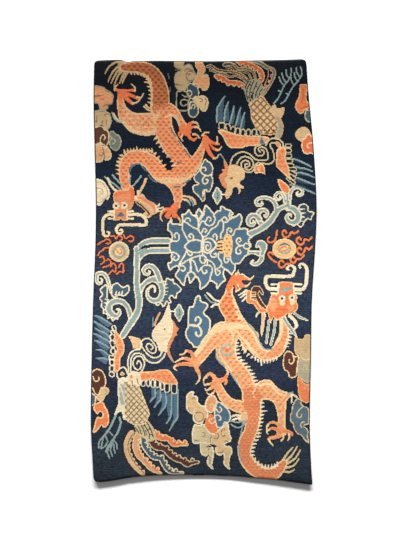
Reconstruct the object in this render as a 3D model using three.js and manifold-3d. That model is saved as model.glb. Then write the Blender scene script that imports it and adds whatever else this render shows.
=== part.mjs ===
// A hand-knotted Tibetan sleeping rug, one woven piece of wool pile on a thin foundation.
// It lies on the floor with its pile up. +X runs across the rug, +Y along it towards its
// upper end, and +Z up from the floor. Its outline is a little uneven, as the loom left it,
// and the lower end curls up off the floor, most at its two corners. All sizes are in
// millimetres, and the origin is on the floor at the middle of the rug's outer box.

import * as THREE from "three";
import { mergeVertices } from "three/addons/utils/BufferGeometryUtils.js";
import Module from "manifold-3d";

// Cloth
const RUG_THICKNESS = 9; // foundation and pile together
const SELVEDGE_HEIGHT = 4.5; // the rug's height at its very side edge
const SIDE_ROUNDING = 8; // how far in from a side edge the pile reaches its full height
const WEB_LENGTH = 4; // the bare woven web that shows past the pile at each end
const WEB_THICKNESS = 2.5;
const END_ROUNDING = 6; // how far in from the web the pile reaches its full height
const PILE_FOOT_HEIGHT = 5.5; // the pile's height where it starts at the web

// Outline: where the two side edges lie at each height y, and the two ends at each x
const SIDES = [
  { y: -850, left: -437, right: 435 },
  { y: -760, left: -443, right: 429 },
  { y: -600, left: -451, right: 424 },
  { y: -300, left: -447, right: 429 },
  { y: -100, left: -441, right: 433 },
  { y: 100, left: -433, right: 446 },
  { y: 267, left: -431, right: 451 },
  { y: 500, left: -436, right: 438 },
  { y: 700, left: -440, right: 419 },
  { y: 850, left: -437, right: 408 },
];

// lift is how far the lower end curls up off the floor, and curl how long that curl is
const ENDS = [
  { x: -440, lower: -842, upper: 844, lift: 12, curl: 170 },
  { x: -370, lower: -835, upper: 847, lift: 11, curl: 160 },
  { x: -330, lower: -828, upper: 847, lift: 11, curl: 155 },
  { x: -307, lower: -824, upper: 839, lift: 10, curl: 150 },
  { x: -280, lower: -821, upper: 842, lift: 10, curl: 145 },
  { x: -200, lower: -815, upper: 844, lift: 8, curl: 130 },
  { x: -100, lower: -814, upper: 843, lift: 5, curl: 115 },
  { x: 0, lower: -814, upper: 842, lift: 4, curl: 110 },
  { x: 100, lower: -818, upper: 843, lift: 4, curl: 110 },
  { x: 200, lower: -825, upper: 845, lift: 7, curl: 125 },
  { x: 300, lower: -833, upper: 847, lift: 10, curl: 145 },
  { x: 440, lower: -851, upper: 851, lift: 12, curl: 170 },
];

// How far each corner is worn round
const CORNERS = {
  lowerLeft: 22,
  lowerRight: 4,
  upperLeft: 14,
  upperRight: 17,
};
const CORNER_FADE = 16; // a higher power keeps a corner's rounding nearer to the corner

// Ripples of the side edges, where the cloth stands off the floor a little
const RIPPLE_HEIGHT = 3;
const RIPPLE_LENGTH = 620;
const RIPPLE_WIDTH = 70; // how far in from the edge a ripple reaches

// Grid of the surface: distances in from an edge, and the number of even steps between them
const SIDE_INSETS = [0, 1.5, 4, SIDE_ROUNDING];
const END_INSETS = [0, WEB_LENGTH, WEB_LENGTH + 0.4, WEB_LENGTH + 2.5, WEB_LENGTH + END_ROUNDING];
const STEPS_ACROSS = 14;
const STEPS_ALONG = 26;
const NOMINAL_WIDTH = 870;
const NOMINAL_LENGTH = 1670;
const FOOT_TRIM = 0.5; // the underside starts this much low and is cut off level with the floor

// The value of one column of a table at a place along its key column, on a smooth curve
// through the rows (a cubic between each two rows, with the slopes of their neighbours).
function along(table, key, column, at) {
  let i = 0;
  while (i < table.length - 2 && at > table[i + 1][key]) i += 1;
  const slope = (row) => {
    const before = table[Math.max(row - 1, 0)];
    const after = table[Math.min(row + 1, table.length - 1)];
    return (after[column] - before[column]) / (after[key] - before[key]);
  };
  const span = table[i + 1][key] - table[i][key];
  const t = THREE.MathUtils.clamp((at - table[i][key]) / span, 0, 1);
  const start = table[i][column];
  const end = table[i + 1][column];
  return (
    start * (1 + 2 * t) * (1 - t) ** 2 +
    end * t * t * (3 - 2 * t) +
    span * (slope(i) * t * (1 - t) ** 2 - slope(i + 1) * t * t * (1 - t))
  );
}

// The shares from 0 to 1 at which the grid has its lines: close near both edges, even between.
function stations(insets, size, steps) {
  const near = insets.map((inset) => inset / size);
  const first = near[near.length - 1];
  const middle = [];
  for (let i = 1; i < steps; i += 1) middle.push(first + ((1 - 2 * first) * i) / steps);
  return [...near, ...middle, ...near.map((share) => 1 - share).reverse()];
}

// How far an edge that is rounded with a radius draws in at a distance from the corner.
function drawnIn(radius, distance) {
  if (distance >= radius) return 0;
  return radius - Math.sqrt(radius * radius - (radius - distance) ** 2);
}

// The place on the floor plan of a point at shares u across and v along the rug.
function planPoint(u, v) {
  const nominalY = THREE.MathUtils.lerp(-NOMINAL_LENGTH / 2, NOMINAL_LENGTH / 2, v);
  const left = along(SIDES, "y", "left", nominalY);
  const right = along(SIDES, "y", "right", nominalY);
  const fromLower = v * NOMINAL_LENGTH;
  const fromUpper = (1 - v) * NOMINAL_LENGTH;
  const leftIn = drawnIn(CORNERS.lowerLeft, fromLower) + drawnIn(CORNERS.upperLeft, fromUpper);
  const rightIn = drawnIn(CORNERS.lowerRight, fromLower) + drawnIn(CORNERS.upperRight, fromUpper);
  const x =
    THREE.MathUtils.lerp(left, right, u) +
    leftIn * (1 - u) ** CORNER_FADE -
    rightIn * u ** CORNER_FADE;
  const lower = along(ENDS, "x", "lower", x);
  const upper = along(ENDS, "x", "upper", x);
  return { x, y: THREE.MathUtils.lerp(lower, upper, v) };
}

// How far the underside stands off the floor: the curl of the lower end and the side ripples.
function liftAt(u, v, x) {
  const fromLower = v * NOMINAL_LENGTH;
  const curl = along(ENDS, "x", "curl", x);
  const share = Math.max(0, 1 - fromLower / curl);
  const curled = along(ENDS, "x", "lift", x) * share ** 2;
  const fromSide = Math.min(u, 1 - u) * NOMINAL_WIDTH;
  const side = u < 0.5 ? 0 : 0.5;
  const wave = Math.sin(2 * Math.PI * ((v * NOMINAL_LENGTH) / RIPPLE_LENGTH + side));
  const rippled = RIPPLE_HEIGHT * Math.max(0, wave) * Math.max(0, 1 - fromSide / RIPPLE_WIDTH) ** 2;
  return curled + rippled;
}

// The rug's thickness at shares u and v: it rounds off at the sides and steps down to the web.
function thicknessAt(u, v) {
  const fromSide = Math.min(u, 1 - u) * NOMINAL_WIDTH;
  const inFromSide = Math.min(fromSide / SIDE_ROUNDING, 1);
  const atSide =
    SELVEDGE_HEIGHT +
    (RUG_THICKNESS - SELVEDGE_HEIGHT) * Math.sqrt(1 - (1 - inFromSide) ** 2);
  const fromWeb = Math.min(v, 1 - v) * NOMINAL_LENGTH - WEB_LENGTH;
  if (fromWeb < 0.01) return WEB_THICKNESS;
  const inFromWeb = Math.min(fromWeb / END_ROUNDING, 1);
  const atEnd =
    PILE_FOOT_HEIGHT +
    (RUG_THICKNESS - PILE_FOOT_HEIGHT) * Math.sqrt(1 - (1 - inFromWeb) ** 2);
  return Math.min(atSide, atEnd);
}

// The whole rug as one closed surface: an upper and a lower sheet of the same grid, joined
// by a wall all round.
function rugShell() {
  const across = stations(SIDE_INSETS, NOMINAL_WIDTH, STEPS_ACROSS);
  const lengthwise = stations(END_INSETS, NOMINAL_LENGTH, STEPS_ALONG);
  const columns = across.length;
  const rows = lengthwise.length;
  const points = [];
  const sheet = (raised) => {
    lengthwise.forEach((v) => {
      across.forEach((u) => {
        const { x, y } = planPoint(u, v);
        const underside = liftAt(u, v, x);
        points.push(x, y, raised ? underside + thicknessAt(u, v) : underside - FOOT_TRIM);
      });
    });
  };
  sheet(true);
  sheet(false);

  const upper = (i, j) => j * columns + i;
  const lower = (i, j) => rows * columns + upper(i, j);
  const faces = [];
  const quad = (a, b, c, d) => faces.push(a, b, c, a, c, d);
  for (let j = 0; j < rows - 1; j += 1) {
    for (let i = 0; i < columns - 1; i += 1) {
      quad(upper(i, j), upper(i + 1, j), upper(i + 1, j + 1), upper(i, j + 1));
      quad(lower(i, j), lower(i, j + 1), lower(i + 1, j + 1), lower(i + 1, j));
    }
    const last = columns - 1;
    quad(lower(0, j), upper(0, j), upper(0, j + 1), lower(0, j + 1));
    quad(lower(last, j), lower(last, j + 1), upper(last, j + 1), upper(last, j));
  }
  for (let i = 0; i < columns - 1; i += 1) {
    const last = rows - 1;
    quad(lower(i, 0), lower(i + 1, 0), upper(i + 1, 0), upper(i, 0));
    quad(lower(i, last), upper(i, last), upper(i + 1, last), lower(i + 1, last));
  }

  const geometry = new THREE.BufferGeometry();
  geometry.setAttribute("position", new THREE.Float32BufferAttribute(points, 3));
  geometry.setIndex(faces);
  return geometry;
}

const wasm = await Module();
wasm.setup();

// A geometry as a manifold-3d solid, with its shared vertices merged.
function asSolid(geometry) {
  const bare = geometry.clone();
  bare.deleteAttribute("normal");
  bare.deleteAttribute("uv");
  const merged = mergeVertices(bare);
  return new wasm.Manifold(
    new wasm.Mesh({
      numProp: 3,
      vertProperties: new Float32Array(merged.attributes.position.array),
      triVerts: new Uint32Array(merged.index.array),
    }),
  );
}

function asGeometry(solid) {
  const mesh = solid.getMesh();
  const geometry = new THREE.BufferGeometry();
  geometry.setAttribute("position", new THREE.BufferAttribute(mesh.vertProperties, 3));
  geometry.setIndex(new THREE.BufferAttribute(mesh.triVerts, 1));
  return geometry;
}

// The shell cut off level with the floor, so that the rug has one true flat face to lie on.
function rugGeometry() {
  const below = new THREE.BoxGeometry(2 * NOMINAL_WIDTH, 2 * NOMINAL_LENGTH, 20);
  below.translate(0, 0, -10);
  const trimmed = asGeometry(asSolid(rugShell()).subtract(asSolid(below)));
  trimmed.computeBoundingBox();
  const centre = trimmed.boundingBox.getCenter(new THREE.Vector3());
  trimmed.translate(-centre.x, -centre.y, 0);
  trimmed.computeVertexNormals();
  return trimmed;
}

const woolPile = new THREE.MeshStandardMaterial({
  color: new THREE.Color(0.075, 0.105, 0.175),
  roughness: 0.95,
  metalness: 0,
});

const rug = new THREE.Mesh(rugGeometry(), woolPile);
rug.name = "rug";

const tibetanRug = new THREE.Group();
tibetanRug.add(rug);

export default tibetanRug;
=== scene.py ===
"""Looks of a hand-knotted Tibetan sleeping rug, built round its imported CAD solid.

The rug is one sheet of cloth. Its pattern is worked out here, knot by knot, as a weaver's
chart: every motif is drawn from its own strokes, lobes and patches in millimetres (x to the
right, y towards the upper end, from the middle of the rug), and each knot of pile takes the
yarn of the motif it falls in. The mesh carries the chart as face attributes, two by two knots
to a face, and the pile material turns yarn numbers into colour and relief.
"""

import logging
import math
from dataclasses import dataclass, field
from enum import IntEnum
from typing import Sequence

import bpy
import numpy as np
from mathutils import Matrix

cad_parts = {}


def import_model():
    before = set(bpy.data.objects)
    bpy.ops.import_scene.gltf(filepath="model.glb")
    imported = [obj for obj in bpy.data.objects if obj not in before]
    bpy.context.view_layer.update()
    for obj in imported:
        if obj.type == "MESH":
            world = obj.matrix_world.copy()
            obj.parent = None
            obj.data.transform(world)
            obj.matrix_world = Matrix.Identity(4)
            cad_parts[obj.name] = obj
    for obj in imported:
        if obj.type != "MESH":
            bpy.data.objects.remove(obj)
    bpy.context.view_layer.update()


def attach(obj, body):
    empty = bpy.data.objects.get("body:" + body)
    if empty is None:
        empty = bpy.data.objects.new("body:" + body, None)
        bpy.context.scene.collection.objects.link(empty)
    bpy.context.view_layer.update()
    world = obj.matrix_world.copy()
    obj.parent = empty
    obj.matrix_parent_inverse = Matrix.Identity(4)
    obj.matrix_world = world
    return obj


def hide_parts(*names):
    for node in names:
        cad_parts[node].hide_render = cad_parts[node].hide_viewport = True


LOG = logging.getLogger("tibetan_rug")
MM = 0.001

Point = tuple[float, ...]


class Yarn(IntEnum):
    """The dyed yarns in the order of the palette, each with its display colour of 0 to 255."""

    def __new__(cls, number: int, *colour: int) -> "Yarn":
        """Makes the yarn of a number, which keeps its colour."""
        member = int.__new__(cls, number)
        member._value_, member.colour = number, colour
        return member

    NAVY = 0, 50, 62, 80
    NIGHT = 1, 24, 30, 40
    CREAM = 2, 240, 226, 192
    PALE = 3, 247, 211, 160
    STRAW = 4, 230, 188, 140
    SAND = 5, 214, 194, 150
    BEIGE = 6, 202, 170, 124
    GREY = 7, 171, 163, 134
    PEACH = 8, 222, 168, 122
    APRICOT = 9, 230, 156, 108
    RUST = 10, 196, 118, 75
    EMBER = 11, 224, 102, 54
    CORAL = 12, 234, 122, 76
    TANGERINE = 13, 228, 144, 98
    ORANGE = 14, 238, 162, 110
    GOLD = 15, 226, 188, 138
    BROWN = 16, 92, 56, 46
    SKY = 17, 110, 141, 161
    BLUE = 18, 84, 114, 135
    SLATE = 19, 92, 110, 120
    SAGE = 20, 146, 165, 160
    WEB = 21, 104, 94, 82
    MELON = 22, 243, 184, 131
    IVORY = 23, 238, 216, 176
    STEEL = 24, 73, 97, 112
    DUSK = 25, 58, 77, 92
    TAUPE = 26, 136, 112, 90
    AMBER = 27, 250, 194, 126
    CLAY = 28, 162, 80, 40
    FLAME = 29, 240, 134, 82
    MIST = 30, 176, 182, 168
    MOSS = 31, 112, 120, 108


@dataclass(frozen=True)
class Lobe:
    """An ellipse of knots."""

    x: float
    y: float
    across: float
    along: float

    def box(self) -> tuple[float, float, float, float]:
        """The lobe's lowest and highest x, then its lowest and highest y."""
        across, along = self.across, self.along
        return self.x - across, self.x + across, self.y - along, self.y + along

    def depth(self, x: np.ndarray, y: np.ndarray) -> np.ndarray:
        """Distance outside the ellipse, negative inside.

        The length of the point scaled to a unit circle, less one, over that length's slope.

        Args:
            x: Knot places across the rug.
            y: Knot places along it.

        Returns:
            The distance at each knot, in millimetres.
        """
        dx, dy = x - self.x, y - self.y
        near = np.hypot(dx / self.across, dy / self.along)
        slope = np.hypot(dx / self.across**2, dy / self.along**2)
        return near * (near - 1.0) / np.maximum(slope, 1e-4)


def smooth(path: Sequence[Point], closed: bool = False, steps: int = 5) -> np.ndarray:
    """A Catmull-Rom curve through every station of a path.

    Args:
        path: Stations, each a tuple of any length.
        closed: Whether the last station joins the first.
        steps: Curve points for each span.

    Returns:
        The points of the curve, one row each.
    """
    stations = np.asarray(path, float)
    if len(stations) < 3:
        return stations
    if closed:
        ring = np.concatenate([stations[-1:], stations, stations[:2]])
    else:
        ring = np.concatenate([stations[:1], stations, stations[-1:]])
    before, start, end, after = ring[:-3], ring[1:-2], ring[2:-1], ring[3:]
    t = (np.arange(steps) / steps)[None, :, None]
    before, start, end, after = (part[:, None, :] for part in (before, start, end, after))
    curve = 0.5 * (
        2 * start
        + (end - before) * t
        + (2 * before - 5 * start + 4 * end - after) * t**2
        + (3 * start - before - 3 * end + after) * t**3
    )
    points = curve.reshape(-1, stations.shape[1])
    return points if closed else np.concatenate([points, stations[-1:]])


class Stroke:
    """A band of knots along a smooth spine, with a half-width that may change on the way."""

    def __init__(self, half: float, *path: Point) -> None:
        """Keeps the spine as a smooth curve.

        Args:
            half: Half-width where a station names none.
            path: Stations (x, y) or (x, y, half-width).
        """
        self.spine = smooth([(*station, half)[:3] for station in path])

    def box(self) -> tuple[float, float, float, float]:
        """The stroke's lowest and highest x, then its lowest and highest y."""
        x, y, half = self.spine.T
        return (x - half).min(), (x + half).max(), (y - half).min(), (y + half).max()

    def depth(self, x: np.ndarray, y: np.ndarray) -> np.ndarray:
        """Distance outside the stroke, negative inside.

        The least, over the spine's segments, of the distance to the segment less its
        half-width there.

        Args:
            x: Knot places across the rug.
            y: Knot places along it.

        Returns:
            The distance at each knot, in millimetres.
        """
        nearest = np.full(x.shape, 1e6)
        for start, end in zip(self.spine[:-1], self.spine[1:]):
            span = end[:2] - start[:2]
            square = max(float(span @ span), 1e-9)
            share = np.clip(((x - start[0]) * span[0] + (y - start[1]) * span[1]) / square, 0, 1)
            away = np.hypot(x - start[0] - share * span[0], y - start[1] - share * span[1])
            nearest = np.minimum(nearest, away - start[2] - share * (end[2] - start[2]))
        return nearest


class Patch:
    """A closed patch of knots inside a smooth or straight-sided outline."""

    def __init__(self, *path: Point, bend: bool = True) -> None:
        """Keeps the outline.

        Args:
            path: Corners (x, y) in order.
            bend: Whether the outline is a smooth curve or straight between corners.
        """
        self.rim = smooth(path, closed=True) if bend else np.asarray(path, float)

    def box(self) -> tuple[float, float, float, float]:
        """The patch's lowest and highest x, then its lowest and highest y."""
        x, y = self.rim[:, 0], self.rim[:, 1]
        return x.min(), x.max(), y.min(), y.max()

    def depth(self, x: np.ndarray, y: np.ndarray) -> np.ndarray:
        """Distance outside the patch, negative inside.

        The distance to the nearest side, with its sign changed at each side that a line to
        the right of the point crosses.

        Args:
            x: Knot places across the rug.
            y: Knot places along it.

        Returns:
            The distance at each knot, in millimetres.
        """
        nearest = np.full(x.shape, 1e6)
        sign = np.ones(x.shape)
        for start, end in zip(self.rim, np.roll(self.rim, -1, axis=0)):
            span = end - start
            square = max(float(span @ span), 1e-9)
            share = np.clip(((x - start[0]) * span[0] + (y - start[1]) * span[1]) / square, 0, 1)
            away = np.hypot(x - start[0] - share * span[0], y - start[1] - share * span[1])
            nearest = np.minimum(nearest, away)
            if span[1] != 0:
                crossing = (start[1] > y) != (end[1] > y)
                at = start[0] + (y - start[1]) * span[0] / span[1]
                sign = np.where(crossing & (x < at), -sign, sign)
        return nearest * sign


Part = Lobe | Stroke | Patch


class KnotChart:
    """The weaver's chart: one yarn for each knot, painted motif by motif."""

    SPIKE_ROOT = 1.3
    SPIKE_TIP = 0.4

    def __init__(self, x: np.ndarray, y: np.ndarray) -> None:
        """Starts an empty ground.

        Args:
            x: Place of each knot across the rug, rows by columns, in millimetres.
            y: Place of each knot along the rug.
        """
        self.x = x
        self.y = y
        self.yarn = np.zeros(x.shape, np.uint8)

    def near(self, parts: Part | Sequence[Part], margin: float) -> tuple[np.ndarray, ...]:
        """The knots that some parts may reach.

        Args:
            parts: One part or several, taken as one shape.
            margin: How far beyond the shape the knots go.

        Returns:
            Their x, their y, their yarns, which are painted in place, and how far each lies
            outside the shape, negative inside.
        """
        shapes = [parts] if isinstance(parts, Part) else list(parts)
        boxes = np.array([shape.box() for shape in shapes])
        low_x, high_x = boxes[:, 0].min() - margin, boxes[:, 1].max() + margin
        low_y, high_y = boxes[:, 2].min() - margin, boxes[:, 3].max() + margin
        rows = (self.y.max(1) >= low_y) & (self.y.min(1) <= high_y)
        columns = (self.x.max(0) >= low_x) & (self.x.min(0) <= high_x)
        spot = tuple(
            slice(np.argmax(hit), len(hit) - np.argmax(hit[::-1])) if hit.any() else slice(0)
            for hit in (rows, columns)
        )
        x, y = self.x[spot], self.y[spot]
        return x, y, self.yarn[spot], np.min([shape.depth(x, y) for shape in shapes], axis=0)

    def lay(
        self,
        parts: Part | Sequence[Part],
        fill: Yarn,
        edge: Yarn | None = None,
        rim: float = 7.0,
        halo: float = 3.2,
        only: Sequence[Yarn] | None = None,
    ) -> None:
        """Paints the union of some parts.

        Args:
            parts: One part or several, painted as one shape.
            fill: The yarn inside.
            edge: The yarn of the outline that runs inside the shape's rim.
            rim: The outline's width.
            halo: How far the dark line goes round the shape, on the ground alone; it is painted
                shade in the groove carved round the motif.
            only: Paints only knots that have one of these yarns now.
        """
        _, _, yarn, depth = self.near(parts, halo + 1)
        free = np.ones(yarn.shape, bool) if only is None else np.isin(yarn, only)
        # Painted shade: the ground round the shape takes the darkened ground yarn, as if shaded in
        # its carved groove.
        if halo > 0 and only is None:
            yarn[(depth > 0) & (depth < halo) & (yarn == Yarn.NAVY)] = Yarn.NIGHT
        yarn[(depth <= 0) & free] = fill
        if edge is not None:
            yarn[(depth <= 0) & (depth > -rim) & free] = edge

    def line(self, yarn: Yarn, half: float, *path: Point, halo: float = 3.2) -> None:
        """Paints one stroke of a single yarn."""
        self.lines(yarn, half, path, halo=halo)

    def lines(self, yarn: Yarn, half: float, *paths: Sequence[Point], halo: float = 3.2) -> None:
        """Paints several strokes of the same yarn and width."""
        for path in paths:
            self.lay(Stroke(half, *path), yarn, halo=halo)

    def spots(
        self, part: Part | Sequence[Part], yarn: Yarn, pitch: tuple[float, float],
        size: tuple[float, float], only: Sequence[Yarn], shift: Point = (0.0, 0.0),
    ) -> None:
        """Paints a lattice of small spots, each second row moved by half a pitch.

        Args:
            part: Where the spots may lie.
            yarn: The yarn of the spots.
            pitch: Distance between spots of a row, and between rows.
            size: A spot's half-width and half-height.
            only: The yarns that a spot may cover.
            shift: How far the lattice is moved.
        """
        x, y, knots, depth = self.near(part, 1)
        row = np.round((y - shift[1]) / pitch[1])
        along = (x - shift[0]) / pitch[0] + 0.5 * np.mod(row, 2)
        across = (along - np.round(along)) * pitch[0] / size[0]
        up = (y - shift[1] - row * pitch[1]) / size[1]
        dotted = (across**2 + up**2 < 1) & (depth < -size[0]) & np.isin(knots, only)
        knots[dotted] = yarn

    def net(
        self, part: Part, yarn: Yarn, pitch: Point, only: Sequence[Yarn], half: float,
        shift: Point = (0.0, 0.0),
    ) -> None:
        """Paints a net of two families of slanting lines, which leaves lozenges between them.

        Args:
            part: Where the net may lie.
            yarn: The yarn of the lines.
            pitch: Width and height of a lozenge.
            only: The yarns that a line may cover.
            half: Half-width of a line.
            shift: The middle of one lozenge.
        """
        x, y, knots, depth = self.near(part, 1)
        across, up = (x - shift[0]) / pitch[0], (y - shift[1]) / pitch[1]
        reach = half / (0.5 * (pitch[0] + pitch[1]) / math.sqrt(2))
        lined = np.zeros(x.shape, dtype=bool)
        for share in (across + up, across - up):
            lined |= np.abs(share - 0.5 - np.round(share - 0.5)) < reach
        knots[lined & (depth < -half) & np.isin(knots, only)] = yarn

    def comb(
        self, yarn: Yarn, half: float, roots: Sequence[Point], reach: Point, halo: float = 2.5
    ) -> None:
        """Paints one short spike from each root towards the same side.

        Args:
            yarn: The yarn of the spikes.
            half: A spike's half-width, which SPIKE_ROOT and SPIKE_TIP scale at its ends.
            roots: Where the spikes start; a third number scales its length.
            reach: How far a spike goes, across and along.
            halo: The width of the dark line round each spike, painted shade in its carved groove.
        """
        for root in roots:
            long = root[2] if len(root) > 2 else 1.0
            tip = root[0] + reach[0] * long, root[1] + reach[1] * long, half * self.SPIKE_TIP
            self.lay(Stroke(half, (*root[:2], half * self.SPIKE_ROOT), tip), yarn, halo=halo)


class Motif:
    """Something that is painted on the chart."""

    def draw(self, chart: KnotChart) -> None:
        """Paints the motif on the chart."""
        raise NotImplementedError


def spiral(
    x: float, y: float, radius: float, start: float, half: float, steps: int = 10,
    drawn_in: float = 0.82,
) -> Stroke:
    """A stroke that winds once round a centre, anticlockwise, with an evenly shrinking radius.

    Args:
        x: Centre across the rug.
        y: Centre along it.
        radius: Radius where the stroke starts.
        start: Angle of the start, in degrees anticlockwise from the right.
        half: The stroke's half-width.
        steps: Number of stations.
        drawn_in: The share of the radius that is lost by the end.

    Returns:
        The stroke.
    """
    share = np.linspace(0, 1, steps)
    angle = np.radians(start + 360 * share)
    reach = radius * (1 - drawn_in * share)
    return Stroke(half, *zip(x + reach * np.cos(angle), y + reach * np.sin(angle)))


def tapered(half: float, path: Sequence[Point], tip: float = 2.4) -> Stroke:
    """A stroke that thins evenly from its first station to its tip."""
    widths = np.linspace(half, tip, len(path))
    return Stroke(half, *((*place, width) for place, width in zip(path, widths)))


def nails(chart: KnotChart, yarn: Yarn, *paths: Sequence[Point], half: float = 4.6) -> None:
    """Paints nails, each from the finger's end to its tip, thinning to a point."""
    for path in paths:
        chart.lay(tapered(half, path), yarn, halo=2.5)


def fronds(chart: KnotChart, yarn: Yarn, half: float, *paths: Sequence[Point]) -> None:
    """Paints the fronds of a tail's tassel, each wide at its root and thin at its tip."""
    for path in paths:
        chart.lay(tapered(half, path), yarn, halo=3.5)


class UpperDragon(Motif):
    """The dragon of the upper half: rust body, tan tassel, face to the lower left."""

    TAIL = (
        (-318, 816, 18), (-298, 817, 22), (-270, 818, 24), (-240, 812, 27), (-210, 795, 30),
        (-189, 765, 33), (-178, 732, 35), (-173, 700, 37), (-174, 668, 38), (-170, 630, 40),
        (-163, 596, 36), (-156, 560, 37), (-141, 525, 37), (-120, 492, 38), (-96, 458, 40),
        (-88, 420, 42),
    )
    ARCH = (
        (-78, 425, 48), (-98, 402, 52), (-130, 384, 38), (-168, 394, 38), (-195, 420, 33),
        (-222, 444, 30), (-258, 459, 27), (-292, 450, 29), (-315, 420, 24), (-317, 385, 21),
        (-312, 345, 20),
    )
    HAUNCH = (
        (-344, 700), (-344, 640), (-336, 606), (-322, 590), (-306, 570), (-285, 554),
        (-240, 543), (-200, 546), (-160, 560), (-160, 640), (-214, 634), (-270, 634),
        (-298, 648), (-314, 668), (-324, 700),
    )
    THIGH = (
        (-160, 676), (-134, 674), (-117, 664), (-100, 645), (-86, 620), (-74, 598), (-62, 580),
        (-92, 568), (-103, 592), (-116, 614), (-132, 620), (-150, 610),
    )
    FOREARM = (
        (-74, 450), (-52, 454), (-34, 476), (-18, 500), (-8, 520), (-2, 542), (18, 538),
        (22, 512), (8, 494), (1, 468), (-6, 444), (-16, 418), (-32, 394), (-48, 374),
        (-66, 356), (-100, 352), (-120, 400),
    )
    SHIN = (
        (-150, 350), (-138, 334), (-126, 314), (-120, 292), (-119, 270), (-126, 256),
        (-98, 252), (-92, 272), (-84, 290), (-84, 314), (-86, 336), (-70, 352), (-100, 372),
    )

    def draw(self, chart: KnotChart) -> None:
        """Paints tassel, flesh, feet, fins and head from back to front."""
        fronds(
            chart, Yarn.BEIGE, 5.5, ((-322, 835), (-350, 836), (-378, 818), (-393, 792)),
            ((-328, 824), (-351, 812), (-369, 788), (-382, 758)),
            ((-322, 814), (-344, 800), (-358, 778), (-370, 752)),
            ((-318, 806), (-336, 792), (-348, 770), (-358, 742)),
            ((-308, 802), (-322, 786), (-331, 764), (-336, 752)),
            ((-300, 800), (-312, 784), (-322, 762), (-326, 752)),
        )
        chart.lay(Lobe(-324, 820, 20, 19), Yarn.BEIGE)
        self.flesh(chart)
        self.feet(chart)
        self.fins(chart)
        self.head(chart)

    def flesh(self, chart: KnotChart) -> None:
        """Paints body and limbs as one shape, with its pale edges, belly and spots."""
        trunk = [
            Stroke(36, *self.TAIL), Stroke(30, *self.ARCH), Patch(*self.HAUNCH),
            Patch(*self.THIGH), Patch(*self.FOREARM), Patch(*self.SHIN),
        ]
        chart.lay(trunk, Yarn.APRICOT, Yarn.STRAW, rim=5)
        chart.lay(Stroke(38, *self.TAIL[:8]), Yarn.RUST, halo=0, only=[Yarn.APRICOT])
        chart.spots(trunk, Yarn.CLAY, (24, 13), (6.6, 4.8), [Yarn.RUST])
        chart.spots(Patch((-212, 700), (-134, 700), (-130, 662), (-180, 640), (-212, 640)),
                    Yarn.RUST, (14, 9), (6.5, 4), [Yarn.APRICOT])
        belly = [
            Stroke(3, (-316, 800), (-290, 798), (-262, 796), (-240, 790), (-218, 768), (-208, 740),
                (-206, 700), (-208, 660), (-212, 640)),
            Stroke(6, (-316, 676, 3), (-294, 644, 4), (-262, 632), (-208, 634), (-196, 612, 4)),
            Stroke(9, (-318, 596, 5), (-300, 570), (-262, 553), (-215, 552), (-192, 566, 5)),
            Stroke(5, (-200, 600, 3), (-186, 620), (-176, 640, 3)),
            Stroke(9, (-292, 420, 5), (-288, 350, 5)),
            Stroke(10, (-240, 428, 3), (-222, 400, 5), (-205, 378, 7), (-180, 366, 9),
                (-150, 362, 12), (-112, 362, 12), (-72, 368, 9), (-42, 386, 6), (-16, 424, 4)),
            Stroke(4, (-152, 616), (-132, 626), (-112, 620), (-98, 596)),
            Stroke(4.5, (-128, 318), (-122, 290), (-122, 264)),
        ]
        chart.lay(belly, Yarn.STRAW, halo=0, only=[Yarn.APRICOT, Yarn.RUST])
        chart.spots(trunk, Yarn.EMBER, (23, 13), (6.4, 4.4), [Yarn.APRICOT])
        panel = Patch((-318, 664), (-290, 636), (-206, 636), (-184, 600), (-186, 560), (-240, 548),
                      (-300, 566), (-330, 604), (-334, 640))
        chart.lay(panel, Yarn.PEACH, halo=0, only=[Yarn.APRICOT])
        for yarn, pitch, size in (
            (Yarn.APRICOT, (17, 11), (4.6, 3.6)), (Yarn.STRAW, (29, 17), (7, 4.6)),
            (Yarn.TANGERINE, (31, 19), (6, 4)),
        ):
            chart.spots(panel, yarn, pitch, size, [Yarn.PEACH, Yarn.EMBER])
        low = Patch((-196, 392), (-150, 384), (-110, 392), (-50, 408), (-20, 432), (-30, 392),
                    (-70, 352), (-150, 346), (-196, 360))
        chart.spots(low, Yarn.APRICOT, (17, 11), (5, 3.2), [Yarn.STRAW])
        chart.spots(low, Yarn.STRAW, (13, 15), (4, 3), [Yarn.APRICOT, Yarn.EMBER])
        chart.lay(
            Patch((-190, 466), (-172, 446), (-150, 462), (-132, 450), (-119, 436), (-118, 420),
                (-128, 408), (-143, 404), (-156, 418), (-172, 440)),
            Yarn.NIGHT, halo=0,
        )
        chart.lines(
            Yarn.SLATE, 2.6, ((-132, 575), (-121, 554), (-112, 540)), ((-101, 524), (-88, 504)),
            ((-76, 488), (-66, 474), (-54, 457)),
            ((-296, 396), (-293, 412, 5), (-284, 422, 4.4), (-268, 430, 3), (-256, 430)),
            ((-249, 424), (-238, 411, 3.4), (-227, 400)),
            ((-220, 384), (-206, 368, 3.4), (-188, 357)), ((-82, 353), (-68, 358), (-58, 366)),
            ((-116, 340), (-98, 340)), ((-142, 790), (-138, 772)), ((-134, 735), (-134, 720)),
            halo=0,
        )
        chart.line(Yarn.SAGE, 3, (-294, 384), (-294, 352), halo=0)
        chart.lines(Yarn.SLATE, 3, ((-104, 437), (-90, 434)), halo=0)

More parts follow.
